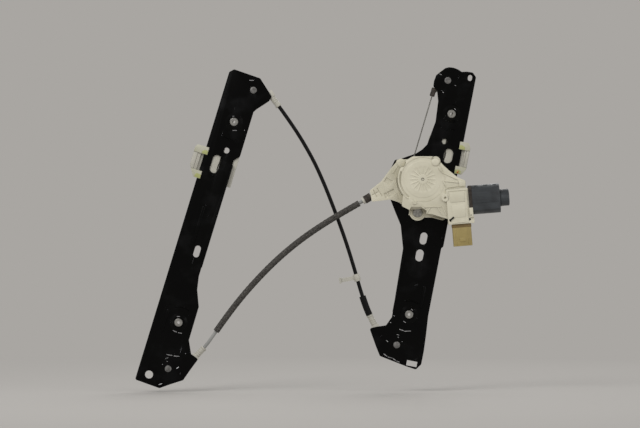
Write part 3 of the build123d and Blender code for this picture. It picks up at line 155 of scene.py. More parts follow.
def dress(tree, shader, ground, coats, bumps, sheen=None):
    """Lays colours over the ground, varies the gloss and adds relief.

    Coats are (mask, colour), bumps are (pattern, millimetres), both from the lowest up, and a
    sheen is (mask, roughness where it is clear, roughness where it is full).
    """
    colour = linear(ground)
    for mask, code in coats:
        mixed = add(tree, "ShaderNodeMixRGB", {
            "Fac": mask, "Color1": colour, "Color2": linear(code)})
        colour = mixed.outputs["Color"]
    tree.links.new(colour, shader.inputs["Base Color"])
    below = {}
    for pattern, height in bumps:
        bump = add(tree, "ShaderNodeBump", {"Height": pattern, "Distance": height * MM, **below})
        below = {"Normal": bump.outputs["Normal"]}
    tree.links.new(below["Normal"], shader.inputs["Normal"])
    if sheen:
        mask, clear, full = sheen
        varied = add(tree, "ShaderNodeMapRange", {"Value": mask, "To Min": clear, "To Max": full})
        tree.links.new(varied.outputs["Result"], shader.inputs["Roughness"])


def e_coated_steel():
    """Pressed steel in black dip paint: nearly mirror smooth, a little orange-peeled, with pale
    hairline scratches from handling and dull dusty patches between them."""
    material, tree, shader = surface(
        "e_coated_steel", "030303", 0.28, IOR=1.5, Specular_IOR_Level=0.1)
    dust = patches(tree, 34, 0.52, 0.78, detail=4)
    along = patches(tree, 0.55, 0.735, 0.76, stretch=(1, 1, 60), turn=14)
    across = patches(tree, 0.6, 0.75, 0.775, stretch=(42, 1, 1), turn=-27)
    handled = patches(tree, 22, 0.5, 0.62, detail=3)
    lines = add(tree, "ShaderNodeMath", {0: along, 1: across}, operation="MAXIMUM")
    scratch = add(tree, "ShaderNodeMath", {0: lines.outputs[0], 1: handled}, operation="MULTIPLY")
    orange_peel = blotches(tree, 1.6, detail=1)
    dress(tree, shader, "020202", [(dust, "0C0C0D"), (scratch.outputs[0], "8B8C90")],
          [(orange_peel, 0.012)], (dust, 0.22, 0.48))
    return material


def plated(name, colour, shade, roughness):
    """Zinc or tin over steel: soft grey metal, cloudy, with fine handling marks."""
    material, tree, shader = surface(name, colour, roughness, Metallic=1.0)
    cloud = patches(tree, 3.5, 0.35, 0.7, detail=4)
    marks = blotches(tree, 0.35)
    dress(tree, shader, colour, [(cloud, shade)], [(marks, 0.02)],
          (cloud, roughness, roughness + 0.2))
    return material


def machined(name, colour, shade, roughness):
    """Turned or ground metal: bright, with cutting rings. The real rings are a tenth of a
    millimetre apart, and are drawn half a millimetre apart to show."""
    material, tree, shader = surface(name, colour, roughness, Metallic=1.0)
    rings, bright = tool_lines(tree, 0.5, (1, 20, 20))
    dress(tree, shader, colour, [(bright, shade)], [(rings, 0.02)])
    return material


def moulded(name, colour, shade, dirt, roughness, grime=0.64, gloss=0.4):
    """Injection-moulded thermoplastic: an even satin skin with faint flow clouds and shallow
    sinks, and grey shop dirt rubbed into it in patches. The spark-eroded grain is a tenth of a
    millimetre on the real one, and drawn three times as coarse to show."""
    material, tree, shader = surface(name, colour, roughness, IOR=1.5, Specular_IOR_Level=gloss)
    flow = patches(tree, 26, 0.3, 0.7, detail=3)
    rubbed = patches(tree, 7, grime, grime + 0.16, 0.4, detail=6)
    grain = blotches(tree, 0.3)
    sinks = blotches(tree, 9, detail=1)
    dress(tree, shader, colour, [(flow, shade), (rubbed, dirt)], [(grain, 0.018), (sinks, 0.05)],
          (flow, roughness - 0.06, roughness + 0.08))
    return material


def drawn_can_steel():
    """Deep-drawn can in thin slate paint: satin, with faint draw lines along the motor."""
    material, tree, shader = surface(
        "drawn_can_steel", "35393C", 0.42, Metallic=0.2, IOR=1.5)
    lines, bright = tool_lines(tree, 0.7, (50, 1, 1))
    stain = patches(tree, 14, 0.4, 0.72, detail=5)
    dress(tree, shader, "33373A", [(bright, "3E4245"), (stain, "292C2F")], [(lines, 0.02)],
          (stain, 0.38, 0.55))
    return material


def elastomer(name, colour, shade):
    """Moulded rubber: matt and sooty, with a bloom of grey dust."""
    material, tree, shader = surface(name, colour, 0.78, IOR=1.5, Specular_IOR_Level=0.3)
    bloom = patches(tree, 5, 0.4, 0.75, detail=5)
    pitting = blotches(tree, 0.4)
    dress(tree, shader, colour, [(bloom, shade)], [(pitting, 0.03)])
    return material


def woven(name, colour, shade, thread, height):
    """Thread laid in two slanting sets round a tube. The piece's own UV map runs round it in u
    and along it in v, in millimetres, so both sets are as wide as the real thread."""
    material, tree, shader = surface(name, colour, 0.9, IOR=1.5, Specular_IOR_Level=0.25)
    one_band_each = 0.32        # the wave texture's scale that gives a band to each unit
    round_tube = add(tree, "ShaderNodeUVMap", uv_map="UVMap")
    sets = []
    for slant in (48, -48):
        turned = add(tree, "ShaderNodeMapping", {
            "Vector": round_tube.outputs["UV"], "Rotation": (0, 0, math.radians(slant)),
            "Scale": (1 / thread,) * 3}, vector_type="POINT")
        threads = add(tree, "ShaderNodeTexWave", {
            "Vector": turned.outputs["Vector"], "Scale": one_band_each, "Distortion": 1.2,
            "Detail": 2.0, "Detail Scale": 1.5}, wave_profile="SIN")
        sets.append(threads.outputs["Fac"])
    weave = add(tree, "ShaderNodeMath", {0: sets[0], 1: sets[1]}, operation="MAXIMUM")
    # Lighter on the thread crowns, with the darker ground in the valleys between them: painted
    # shade.
    crowns = add(tree, "ShaderNodeMapRange", {"Value": weave.outputs[0], "From Min": 0.2})
    fuzz = patches(tree, 1.8, 0.35, 0.75, detail=5)
    dress(tree, shader, shade, [(crowns.outputs["Result"], colour), (fuzz, "63605B")],
          [(weave.outputs[0], height)])
    return material


def stranded_wire():
    """Galvanised strands twisted into a cable under a film of grease: slanting bright and dark
    lines about half a millimetre wide, as the strands are, painted highlight on the strands
    and painted shade in the grooves between them."""
    material, tree, shader = surface("stranded_wire", "8D8C88", 0.38, Metallic=1.0)
    place = add(tree, "ShaderNodeTexCoord")
    wave = add(tree, "ShaderNodeTexWave", {
        "Vector": place.outputs["Object"], "Scale": 350.0, "Distortion": 2.0},
        bands_direction="DIAGONAL")
    strands = wave.outputs["Fac"]
    # Bright on the strands' crowns and dark in their grooves: painted highlight and painted shade.
    dress(tree, shader, "35332F", [(strands, "A9A7A1")], [(strands, 0.15)])
    return material


def sintered(name, colour, shade):
    """Pressed metal or ferrite powder: dull, with fine pores."""
    material, tree, shader = surface(name, colour, 0.55, Metallic=0.8)
    pores = patches(tree, 0.6, 0.4, 0.66, detail=3)
    dress(tree, shader, colour, [(pores, shade)], [(pores, 0.03)])
    return material


FINISHES = {
    "black_steel": e_coated_steel(),
    "zinc": plated("zinc_plated_steel", "B4B3AE", "8D8C89", 0.34),
    "pale_plastic": moulded("acetal_natural", "B2AFA5", "A4A196", "7F7B70", 0.4),
    "cream_plastic": moulded("polyester_cream", "CAC5B2", "BDB8A4", "98927C", 0.42, 0.68),
    "hook_plastic": moulded("acetal_cream_grey", "B1AF9F", "A2A08B", "7B7864", 0.38),
    "can_steel": drawn_can_steel(),
    "dark_rubber": elastomer("rubber_brown_black", "2E2925", "4A433C"),
    "sheath_fabric": woven("textile_sleeve", "34312F", "121110", 1.1, 0.35),
    "black_plastic": moulded("polyamide_black", "090909", "100F0F", "2B2927", 0.5, 0.7, 0.15),
    "grey_plastic": moulded("polyethylene_grey", "8F8F8C", "80807D", "5C5A56", 0.4),
    "cable_steel": stranded_wire(),
    "ochre_plastic": moulded("polyamide_ochre", "9B8A57", "8C7B4B", "625636", 0.42),
    "brass": plated("tinned_brass", "C9A45C", "9C7B3E", 0.3),
    "shaft_steel": machined("ground_steel", "A7A6A4", "7C7B79", 0.26),
    "magnet": sintered("pressed_ferrite", "2A2A2C", "19191B"),
    "board": moulded("solder_resist_green", "1C4A2C", "163C24", "10241A", 0.3),
}
OWN_FINISHES = {"pulley_rivets": plated("zinc_dulled", "8F8E8C", "6B6A69", 0.5)}
# Pale bright metal for the short ridges on the rails: painted highlights.
PAINTED_GLINT_STEEL = plated("painted_glint_metal", "D0D0D2", "77787B", 0.3)
# A darker ochre for the top of the plug socket: painted shade under the box.
PLUG_SHADE_PLASTIC = moulded("polyamide_ochre_shaded", "77623A", "68552F", "4A3C22", 0.45)
GREEN_PLASTIC = moulded("acetal_yellow_green", "A2A46E", "93965A", "6F6E48", 0.36)
# Lithium grease: smooth, wet and amber where it has gathered.
GREASE = surface("lithium_grease", "A25F22", 0.22, Coat_Weight=0.4)[0]

slot_of = {part["node"]: part["material_slot"] for part in frame["record"]["subparts"]}
body_of = {node: body for body, nodes in frame["record"]["behaviour"]["bodies"].items()
           for node in nodes}
for node, thing in frame["nodes"].items():
    thing.data.materials.clear()
    thing.data.materials.append(OWN_FINISHES.get(node) or FINISHES[slot_of[node]])


# ---- making pieces ----------------------------------------------------------------------------
WELD = 0.002                    # corners this close are one
FACET_WELD = 0.005              # and this close in the solids' facets
FACET_FLAT = 0.8                # degrees within which facets make one face
EDGE_SHARP = 40                 # degrees past which a solid's edge is rounded
CREASE = 32                     # and past which shading keeps a crisp line


def link(name, data):
    """Puts a new object with that data in the scene."""
    thing = bpy.data.objects.new(name, data)
    bpy.context.scene.collection.objects.link(thing)
    return thing


def finish_mesh(bm, mesh):
    """Writes the bmesh out, smooth shaded with a crisp line wherever faces meet at an angle."""
    bm.normal_update()
    for face in bm.faces:
        face.smooth = True
    for edge in bm.edges:
        edge.smooth = edge.calc_face_angle(math.pi) < math.radians(CREASE)
    bm.to_mesh(mesh)
    bm.free()


def round_edges(bm, edges, width):
    """Rounds the given edges, each once and in their order, over that many millimetres."""
    bmesh.ops.bevel(bm, geom=list(dict.fromkeys(edges)), offset=width * MM, segments=2,
                    profile=0.5, affect="EDGES", clamp_overlap=True, material=-1)


def piece(name, bm, slot, body, finish=None):
    """Turns a bmesh into a piece that rides on a body."""
    mesh = bpy.data.meshes.new(name)
    bmesh.ops.remove_doubles(bm, verts=bm.verts, dist=WELD * MM)
    bmesh.ops.recalc_face_normals(bm, faces=bm.faces)
    finish_mesh(bm, mesh)
    mesh.materials.append(finish or FINISHES[slot])
    thing = link(name, mesh)
    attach(thing, body)
    return thing


def softened(node, width):
    """A copy of a node with its facets joined and its edges rounded, which stands for it."""
    mesh = frame["nodes"][node].data.copy()
    bm = bmesh.new()
    bm.from_mesh(mesh)
    bmesh.ops.remove_doubles(bm, verts=bm.verts, dist=FACET_WELD * MM)
    bmesh.ops.dissolve_limit(bm, angle_limit=math.radians(FACET_FLAT), verts=bm.verts,
                             edges=bm.edges)
    corners = [edge for edge in bm.edges
               if edge.is_manifold and edge.calc_face_angle(0) > math.radians(EDGE_SHARP)]
    round_edges(bm, corners, width)
    finish_mesh(bm, mesh)
    thing = link(f"{node}_dressed", mesh)
    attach(thing, body_of[node])
    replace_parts(thing, node)


ROUNDED = {                     # how wide the rounding is on each node's edges
    "left_rail": 0.35, "right_rail": 0.35,
    "left_top_guard": 0.35, "left_bottom_guard": 0.35,
    "right_top_guard": 0.35, "right_bottom_guard": 0.35,
    "drum_housing": 0.4, "gear_housing": 0.45,
    "electronics_housing": 0.5, "motor_can": 0.9, "motor_gasket": 0.6,
    "plug_socket": 0.4, "left_carrier": 0.5, "right_carrier": 0.5,
    "left_glass_jaw": 0.5, "right_glass_jaw": 0.5,
    "left_guide_hooks": 0.35, "right_guide_hooks": 0.35,
    "housing_screws": 0.3, "clinch_nuts": 0.25, "pulley_rivets": 0.3,
    "conduit_b_clip": 0.4, "lower_stops": 0.6,
}
for node, width in ROUNDED.items():
    softened(node, width)


# ---- shapes in millimetres, made in a piece's own place ---------------------------------------
def span(start, end):
    """A place at one point whose Y axis runs toward another."""
    start, end = Vector(start), Vector(end)
    turn = (end - start).to_track_quat("Y", "Z").to_matrix().to_4x4()
    return Matrix.Translation(start * MM) @ turn


def ramp(value, start, end):
    """0 at the start, 1 at the end and straight in between."""
    return min(1.0, max(0.0, (value - start) / (end - start)))


def ring(bm, place, outline, x=0.0, z=0.0, y=0.0, steps=48):
    """A closed outline of (radius, y) points spun about the Y axis."""
    verts = [bm.verts.new(Vector((r, d, 0)) * MM) for r, d in outline]
    edges = [bm.edges.new(pair) for pair in zip(verts, verts[1:] + verts[:1])]
    before = set(bm.verts) - set(verts)
    bmesh.ops.spin(bm, geom=verts + edges, cent=(0, 0, 0), axis=(0, 1, 0),
                   angle=math.tau, steps=steps, use_merge=True)
    made = [v for v in bm.verts if v not in before]
    bmesh.ops.transform(bm, matrix=place @ shift(x, y, z), verts=made)


def crescent(bm, place, x, z, radius, start, sweep, width, height, y=0.0):
    """A low rounded bead that follows part of a circle, from one bearing round by a sweep."""
    half = width / 2
    shoulder = 0.35 * height
    sink = 0.3
    outline = [(-half, sink), (-half, -shoulder), (-half / 2, -height), (half / 2, -height),
               (half, -shoulder), (half, sink)]
    before = set(bm.verts)
    verts = [bm.verts.new(Vector((radius + r, d, 0)) * MM) for r, d in outline]
    face = bm.faces.new(verts)
    bmesh.ops.spin(bm, geom=[face], cent=(0, 0, 0), axis=(0, -1, 0),
                   angle=math.radians(sweep), steps=max(6, round(sweep / 4)))
    made = [v for v in bm.verts if v not in before]
    bmesh.ops.transform(bm, matrix=place @ shift(x, y, z) @ lean(-start), verts=made)


def pill(bm, place, x, z, length, width, height, turn=0.0, y=0.0):
    """A long low dome, half sunk in the face that it stands on."""
    made = bmesh.ops.create_uvsphere(bm, u_segments=24, v_segments=12, radius=width / 2 * MM)
    reach = (length - width) / 2 * MM
    for vert in made["verts"]:
        vert.co.z += reach if vert.co.z > 0 else -reach
        vert.co.y *= 2 * height / width
    bmesh.ops.transform(bm, matrix=place @ shift(x, y, z) @ lean(turn), verts=made["verts"])


def bar(bm, place, x, y, z, size, turn=0.0, edge=0.3):
    """A block with rounded edges, centred at a point."""
    made = bmesh.ops.create_cube(bm, size=1.0)
    bmesh.ops.scale(bm, vec=Vector(size) * MM, verts=made["verts"])
    bmesh.ops.transform(bm, matrix=place @ shift(x, y, z) @ lean(turn), verts=made["verts"])
    round_edges(bm, [e for v in made["verts"] for e in v.link_edges], edge)


def rib(bm, place, start, end, thick, y, height):
    """A straight wall between two (x, z) points, standing forward of a face and set into it."""
    (x0, z0), (x1, z1) = start, end
    length = math.hypot(x1 - x0, z1 - z0)
    turn = -math.degrees(math.atan2(z1 - z0, x1 - x0))
    overlap = 0.4
    bar(bm, place, (x0 + x1) / 2, y - height / 2, (z0 + z1) / 2,
        (length, height + overlap, thick), turn, edge=0.25)


def slab(bm, place, outline, y, height, edge):
    """A pad with an outline of (x, z) points, standing forward of a face."""
    before = set(bm.verts)
    face = bm.faces.new([bm.verts.new(Vector((x, y, z)) * MM) for x, z in outline])
    raised = bmesh.ops.extrude_face_region(bm, geom=[face])["geom"]
    tops = [v for v in raised if isinstance(v, bmesh.types.BMVert)]
    bmesh.ops.translate(bm, vec=(0, -height * MM, 0), verts=tops)
    made = [v for v in bm.verts if v not in before]
    bmesh.ops.transform(bm, matrix=place, verts=made)
    rim = [e for v in tops for e in v.link_edges if all(end in tops for end in e.verts)]
    round_edges(bm, rim, edge)


# ---- rails: pressed beads, ridges of painted highlight and nut threads --------------------------
ROUND_BEADS = [                 # place, middle, then radius, start, sweep, width, height of each
    (LEFT, LEFT_NUTS[0], [(27.5, 252, 44, 2.4, 0.9)]),
    (LEFT, LEFT_RIVETS[0], [(12.6, 66, 48, 1.6, 0.5), (15.5, 190, 26, 1.6, 0.5),
                            (15.5, 305, 24, 1.6, 0.5)]),
    (LEFT, LEFT_NUTS[1], [(24.0, 66, 52, 2.2, 0.8)]),
    (LEFT, LEFT_RIVETS[1], [(15.0, 60, 60, 1.8, 0.6)]),
    (RIGHT, RIGHT_NUTS[0], [(24.5, 232, 60, 2.4, 0.9), (15.0, 62, 34, 1.4, 0.5)]),
    (RIGHT, RIGHT_HEAD_RIVET, [(19.2, 228, 28, 2.0, 0.7), (9.8, 300, 40, 1.4, 0.5),
                               (13.5, 70, 42, 1.6, 0.5)]),
    (RIGHT, RIGHT_NUTS[1], [(21.0, 60, 56, 2.2, 0.8)]),
]
STRAIGHT_BEADS = [              # place, x, z, length, width, height
    (LEFT, 17.0, 98.0, 36.0, 5.0, 1.1), (LEFT, 23.0, 250.0, 58.0, 5.0, 0.9),
    (LEFT, 22.2, 326.6, 3.4, 3.2, 0.8), (RIGHT, -16.0, 96.0, 34.0, 5.0, 1.0),
]


def rail_beads():
    """Beads pressed round the nuts and pulleys, and long ones beside the slots."""
    beads = bmesh.new()
    for place, middle, arcs in ROUND_BEADS:
        for arc in arcs:
            crescent(beads, place, *middle, *arc)
    for place, *bead in STRAIGHT_BEADS:
        pill(beads, place, *bead)
    piece("rail_beads", beads, "black_steel", "frame")


# Short pale ridges on each rail's steel: painted highlights where light glints on its edges.
LEFT_GLINTS = [                   # x, z, length, turn
    (35.8, 480.2, 6.4, 73), (25.4, 420.6, 2.7, 73), (33.5, 401.0, 6.4, 73), (47.7, 405.5, 1.2, 73),
    (37.4, 386.6, 6.7, 78), (31.0, 385.3, 5.9, 81), (22.5, 327.0, 1.7, 73), (34.7, 109.5, 5.0, 73),
    (35.9, 86.6, 6.7, 97), (44.0, 86.4, 5.9, 83), (38.9, 50.2, 8.5, 81), (49.3, 51.6, 8.5, 77),
    (36.2, 44.2, 4.6, 48), (38.3, 39.9, 1.6, 83), (32.7, 33.7, 1.2, 73), (56.0, 35.4, 5.0, 38),
    (61.1, 59.5, 1.2, 73), (38.5, 4.4, 5.9, 53),
]
RIGHT_GLINTS = [                  # as on the left
    (-28.3, 417.0, 2.4, 104), (-45.4, 404.1, 5.3, 119), (-52.9, 429.2, 3.6, 99),
    (-21.9, 381.9, 3.3, 124), (-37.9, 41.6, 6.7, 99), (-28.7, 41.6, 10.5, 77),
    (-35.7, 54.4, 3.8, 109), (-28.2, 74.3, 2.8, 124), (-41.7, 33.4, 3.8, 104),
    (-40.8, 30.0, 1.9, 104), (-55.9, 21.2, 3.8, 119), (-33.6, 24.5, 1.4, 79),
    (-52.7, 60.3, 2.3, 109), (-56.0, 49.5, 1.9, 109), (-54.5, 0.0, 6.7, 117),
    (-47.3, -2.2, 6.7, 94), (-40.4, -3.8, 6.2, 116), (-34.1, -6.0, 5.2, 101),
]
GLINT_WIDTH = 1.1
GLINT_HEIGHT = 0.25
SEAT_RISE = 3.0                 # how far the seat pressed round each nut stands forward
SEAT_TOP_R = 9.5
SEAT_FOOT_R = 13.5


def steel_front(x, z, nuts):
    """The y of the steel's front, on a nut's pressed seat or off it."""
    apart = min(math.hypot(x - a, z - b) for a, b in nuts)
    return -SEAT_RISE * ramp(apart, SEAT_FOOT_R, SEAT_TOP_R)


def painted_glints():
    """Short low ridges of pale bright metal: painted highlights, standing for glints on the steel.
    """
    glints = bmesh.new()
    for place, nuts, spots in ((LEFT, LEFT_NUTS, LEFT_GLINTS), (RIGHT, RIGHT_NUTS, RIGHT_GLINTS)):
        for x, z, length, turn in spots:
            pill(glints, place, x, z, length, GLINT_WIDTH, GLINT_HEIGHT, turn, steel_front(x, z, nuts))
    piece("painted_glints", glints, "black_steel", "frame", PAINTED_GLINT_STEEL)


THREAD_PITCH = 1.0              # M6
THREAD_TURNS = 5
THREAD_START = -4.1
THREAD = [(2.6, -0.35), (2.16, 0.0), (2.6, 0.35)]               # radius, y from its middle
NUT_RIM = [(2.5, -4.9), (2.5, -4.4), (5.6, -4.4), (5.2, -4.9)]  # radius, y


def nut_threads():
    """The thread in each clinch nut, and the rim round its mouth."""
    threads = bmesh.new()
    for place, nuts in ((LEFT, LEFT_NUTS), (RIGHT, RIGHT_NUTS)):
        for x, z in nuts:
            for turn in range(THREAD_TURNS):
                ring(threads, place, THREAD, x, z, THREAD_START + turn * THREAD_PITCH, steps=32)
            ring(threads, place, NUT_RIM, x, z, steps=40)
    piece("nut_threads", threads, "zinc", "frame")


# ---- gear side of the housing -------------------------------------------------------------------
GEAR_FACE = -35.0               # fronts of the gear housing and of the drum housing
DRUM_FACE = -16.5
COVER_R = 32.4
COVER_HOLE_R = 0.25
COVER_BACK = -32.5
COVER_CHAMFER_IN, COVER_CHAMFER_DEEP = 0.15, 0.4
COVER_CIRCLES = 64              # rings of faces from hub to rim, fine enough for the wedges
FACES_PER_WEDGE = 16
WEDGES = 16
WEDGE_IN, WEDGE_OUT = 6.5, 20.5
WEDGE_DEPTH = 0.65
WEDGE_SLOPE_IN, WEDGE_SLOPE_OUT = 1.2, 3.5
RIDGE_HALF, RIDGE_FOOT = 0.1, 0.2       # of the ridge between two wedges, in shares of a wedge
HUB_R, HUB_DEPTH = 1.7, 0.9
STEP_R, STEP_SLOPE, STEP_DEPTH = 27.2, 0.6, 0.35


def cover_depth(reach, bearing):
    """How deep the cover's face lies at a radius and a bearing: wedges, hub and outer step."""
    wave = (bearing * WEDGES / math.tau) % 1.0
    side = ramp(0.5 - abs(wave - 0.5), RIDGE_HALF, RIDGE_FOOT)
    inner = ramp(reach, WEDGE_IN, WEDGE_IN + WEDGE_SLOPE_IN)
    outer = ramp(reach, WEDGE_OUT, WEDGE_OUT - WEDGE_SLOPE_OUT)
    hub = math.exp(-(reach / HUB_R) ** 4)
    step = ramp(reach, STEP_R, STEP_R + STEP_SLOPE)
    return WEDGE_DEPTH * side * inner * outer + HUB_DEPTH * hub + STEP_DEPTH * step


def gear_cover():
    """The round cover with its ring of shallow wedges."""
    cover = bmesh.new()
    circles = [(COVER_R * k / COVER_CIRCLES, GEAR_FACE) for k in range(2, COVER_CIRCLES)]
    outline = [(COVER_HOLE_R, COVER_BACK), (COVER_HOLE_R, GEAR_FACE), *circles,
               (COVER_R - COVER_CHAMFER_IN, GEAR_FACE), (COVER_R, GEAR_FACE + COVER_CHAMFER_DEEP),
               (COVER_R, COVER_BACK)]
    ring(cover, DRUM, outline, steps=WEDGES * FACES_PER_WEDGE)
    centre = DRUM.translation
    for vert in cover.verts:
        if vert.co.y < (GEAR_FACE + COVER_CHAMFER_DEEP / 2) * MM:
            across, up = (vert.co.x - centre.x) / MM, (vert.co.z - centre.z) / MM
            vert.co.y += cover_depth(math.hypot(across, up), math.atan2(up, across)) * MM
    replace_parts(piece("gear_cover_fluted", cover, "cream_plastic", "frame"), "gear_cover")


# Dark rubber in the hub's pit: painted shade where the hub has a hole.
HUB_SHADE_RING = [                 # radius, y from the cover's face
    (0.2, 0.9), (1.7, 0.9), (1.7, -0.05), (2.3, -0.05), (2.3, 1.2), (0.2, 1.2),
]


def hub_hole_shade():
    """A dark ring sunk in the cover's hub: painted shade standing for the hole in its middle."""
    seal = bmesh.new()
    ring(seal, DRUM, HUB_SHADE_RING, y=GEAR_FACE, steps=32)
    piece("hub_hole_shade", seal, "dark_rubber", "frame")


HOUSING_ARCS = [                # radius, start, sweep, width, height, face
    (35.9, 159, 74, 2.1, 0.9, GEAR_FACE), (39.4, 176, 56, 1.6, 3.2, DRUM_FACE),
    (33.2, 238, 278, 0.8, 0.4, GEAR_FACE),
]
PIN_DOME = [                    # radius, y from the gear housing's face
    (0.2, -1.6), (3.6, -1.6), (5.2, -1.1), (6.0, -0.2), (6.0, 0.5), (0.2, 0.5),
]
PIN_DOME_X, PIN_DOME_Z = 18.8, 25.2
BAND_WALLS = [                  # x, z of both ends: lower band, and the web to the bearing block
    ((1.0, -41.8), (27.5, -40.6)), ((11.0, -42.0), (6.5, -50.0)), ((22.5, -41.5), (30.0, -54.0)),
    ((29.5, -40.0), (35.0, -53.5)), ((-2.0, -40.5), (5.5, -46.0)), ((36.0, -12.5), (37.0, -38.0)),
    ((28.5, 10.5), (52.0, -0.7)), ((30.5, -2.5), (54.5, -5.0)), ((35.9, -12.3), (54.5, -9.8)),
    ((28.5, 10.5), (24.0, 16.8)), ((30.5, -2.5), (35.9, -12.3)),
]
BAND_WALL, BAND_HEIGHT = 1.3, 1.0
BEARING_BLOCK = (58.7, GEAR_FACE - 0.6, -6.3, (9.6, 2.4, 9.0), -5, 0.8)     # as bar takes it
COLLARS = [                     # x, z, outer radius, bore radius, height
    (33.4, -27.6, 6.2, 1.6, 4.2), (-12.0, -34.5, 3.4, 1.1, 1.7),
]


def collar_outline(outer, bore, high):
    """A round collar whose rim is chamfered, in (radius, y from its foot)."""
    wall = outer - 0.2
    return [(bore, 0.6 - high), (bore + 0.4, -high), (outer - 0.8, -high), (wall, 0.5 - high),
            (wall, 0), (bore, 0)]


def gear_housing_ribs():
    """Raised arcs, walls, the bearing's block and collars on the gear housing."""
    fins = bmesh.new()
    for *arc, face in HOUSING_ARCS:
        crescent(fins, DRUM, 0, 0, *arc, face)
    ring(fins, DRUM, PIN_DOME, PIN_DOME_X, PIN_DOME_Z, GEAR_FACE)
    for start, end in BAND_WALLS:
        rib(fins, DRUM, start, end, BAND_WALL, GEAR_FACE, BAND_HEIGHT)
    bar(fins, DRUM, *BEARING_BLOCK)
    for x, z, *sizes in COLLARS:
        ring(fins, DRUM, collar_outline(*sizes), x, z, GEAR_FACE, steps=40)
    piece("gear_housing_ribs", fins, "cream_plastic", "frame")


# ---- drum side: boss rims, gussets and the main screw ---------------------------------------------
BOSS_FACE = -19.5
BOSSES = [(-31.7, 24.6, 6.4), (19.5, 27.0, 7.5)]        # x, z, radius
ARM_PAD = (-24.0, DRUM_FACE - 0.6, -39.2, (13.0, 3.0, 5.6), 20, 1.0)        # as bar takes it
GUSSETS = [                     # x, z of both ends
    ((-37.0, 20.5), (-44.5, 9.0)), ((-39.5, -20.0), (-36.0, -29.0)),
    ((-24.0, 28.0), (12.0, 28.6)), ((-20.0, -53.5), (-17.0, -41.0)),
    ((16.0, -56.5), (31.0, -60.5)), ((-30.0, -33.5), (-22.0, -39.5)),
]
GUSSET_WALL, GUSSET_HEIGHT = 1.4, 1.6
SCREW_X, SCREW_Z, SCREW_FACE = -7.0, -49.2, -17.0
SCREW_SEAT = [(8.0, 0.2), (8.3, -1.1), (9.6, -1.1), (10.1, 0.2)]        # radius, y from its face
MAIN_SCREW = [                  # flange, shoulder and recess, from the same face
    (0.3, 0.0), (7.4, 0.0), (7.4, -0.5), (7.0, -0.8), (6.3, -1.0), (6.1, -1.9), (5.5, -2.45),
    (3.5, -2.45), (3.3, -0.9), (0.3, -0.7),
]
LOBES = 6
LOBE_R = 3.1
LOBE_Y = SCREW_FACE - 1.5
LOBE_SIZE, LOBE_EDGE = (1.3, 1.6, 1.3), 0.35


def drum_housing_ribs():
    """Boss rims, the pad on the arm, the main screw's seat and gussets on the drum housing."""
    rims = bmesh.new()
    for x, z, radius in BOSSES:
        rim = [(0.2, -0.6), (radius - 2.2, -0.6), (radius - 0.9, -0.2), (radius - 0.4, 0.6),
               (0.2, 0.6)]
        ring(rims, DRUM, rim, x, z, BOSS_FACE, steps=40)
    bar(rims, DRUM, *ARM_PAD)
    ring(rims, DRUM, SCREW_SEAT, SCREW_X, SCREW_Z, SCREW_FACE)
    for start, end in GUSSETS:
        rib(rims, DRUM, start, end, GUSSET_WALL, DRUM_FACE, GUSSET_HEIGHT)
    piece("drum_housing_ribs", rims, "cream_plastic", "frame")


def main_screw():
    """The main screw's flanged head, with the six lobes of its star recess."""
    screw = bmesh.new()
    ring(screw, DRUM, MAIN_SCREW, SCREW_X, SCREW_Z, SCREW_FACE)
    for k in range(LOBES):
        bearing = math.tau * k / LOBES
        x, z = SCREW_X + LOBE_R * math.cos(bearing), SCREW_Z + LOBE_R * math.sin(bearing)
        bar(screw, DRUM, x, LOBE_Y, z, LOBE_SIZE, 45 - math.degrees(bearing), LOBE_EDGE)
    piece("main_screw_head", screw, "zinc", "frame")


# ---- electronics box and its small dark fittings ------------------------------------------------
BOX_FACE = -12.0                # from the motor's shaft
PANEL_WALLS = [                 # x, z of both ends
    ((35.5, 15.8), (63.5, 15.8)), ((35.5, 2.0), (35.5, 15.8)), ((63.5, -32.0), (63.5, 15.8)),
    ((38.0, -32.0), (63.5, -32.0)),
]
PANEL_WALL, PANEL_HEIGHT = 1.0, 0.5
BOX_PADS = [                    # x, y, z, size, turn, edge
    (68.3, BOX_FACE - 1.9, -18.4, (5.4, 4.0, 14.2), 0, 0.6),
    (49.0, BOX_FACE - 0.2, 6.0, (22.0, 0.8, 15.0), 0, 0.35),
    (49.5, BOX_FACE - 0.1, -15.0, (20.0, 0.6, 19.0), 0, 0.28),
]
VENT_BARS = [                   # as above
    (39.2, BOX_FACE - 0.5, -25.4, (6.8, 1.6, 2.3), -36, 0.4),
    (36.0, BOX_FACE - 0.5, -28.0, (2.2, 1.6, 3.6), -20, 0.4),
]
VENT_CAPS = [                   # x, z, then its outline as radius, y from the box's face
    (65.2, -28.4, [(0.2, -0.5), (1.5, -0.5), (1.9, 0.2), (0.2, 0.2)]),
    (67.4, -22.4, [(0.2, -4.2), (0.6, -4.2), (0.9, -3.6), (0.2, -3.6)]),
]


def box_panels():
    """Frame and raised panels on the electronics box."""
    panel = bmesh.new()
    for start, end in PANEL_WALLS:
        rib(panel, MOTOR, start, end, PANEL_WALL, BOX_FACE, PANEL_HEIGHT)
    for pad in BOX_PADS:
        bar(panel, MOTOR, *pad)
    piece("box_panels", panel, "cream_plastic", "frame")


def box_vent_plugs():
    """Dark plugs in the box's vents and pin holes."""
    plugs = bmesh.new()
    for block in VENT_BARS:
        bar(plugs, MOTOR, *block)
    for x, z, outline in VENT_CAPS:
        ring(plugs, MOTOR, outline, x, z, BOX_FACE, steps=24)
    piece("box_vent_plugs", plugs, "black_plastic", "frame")


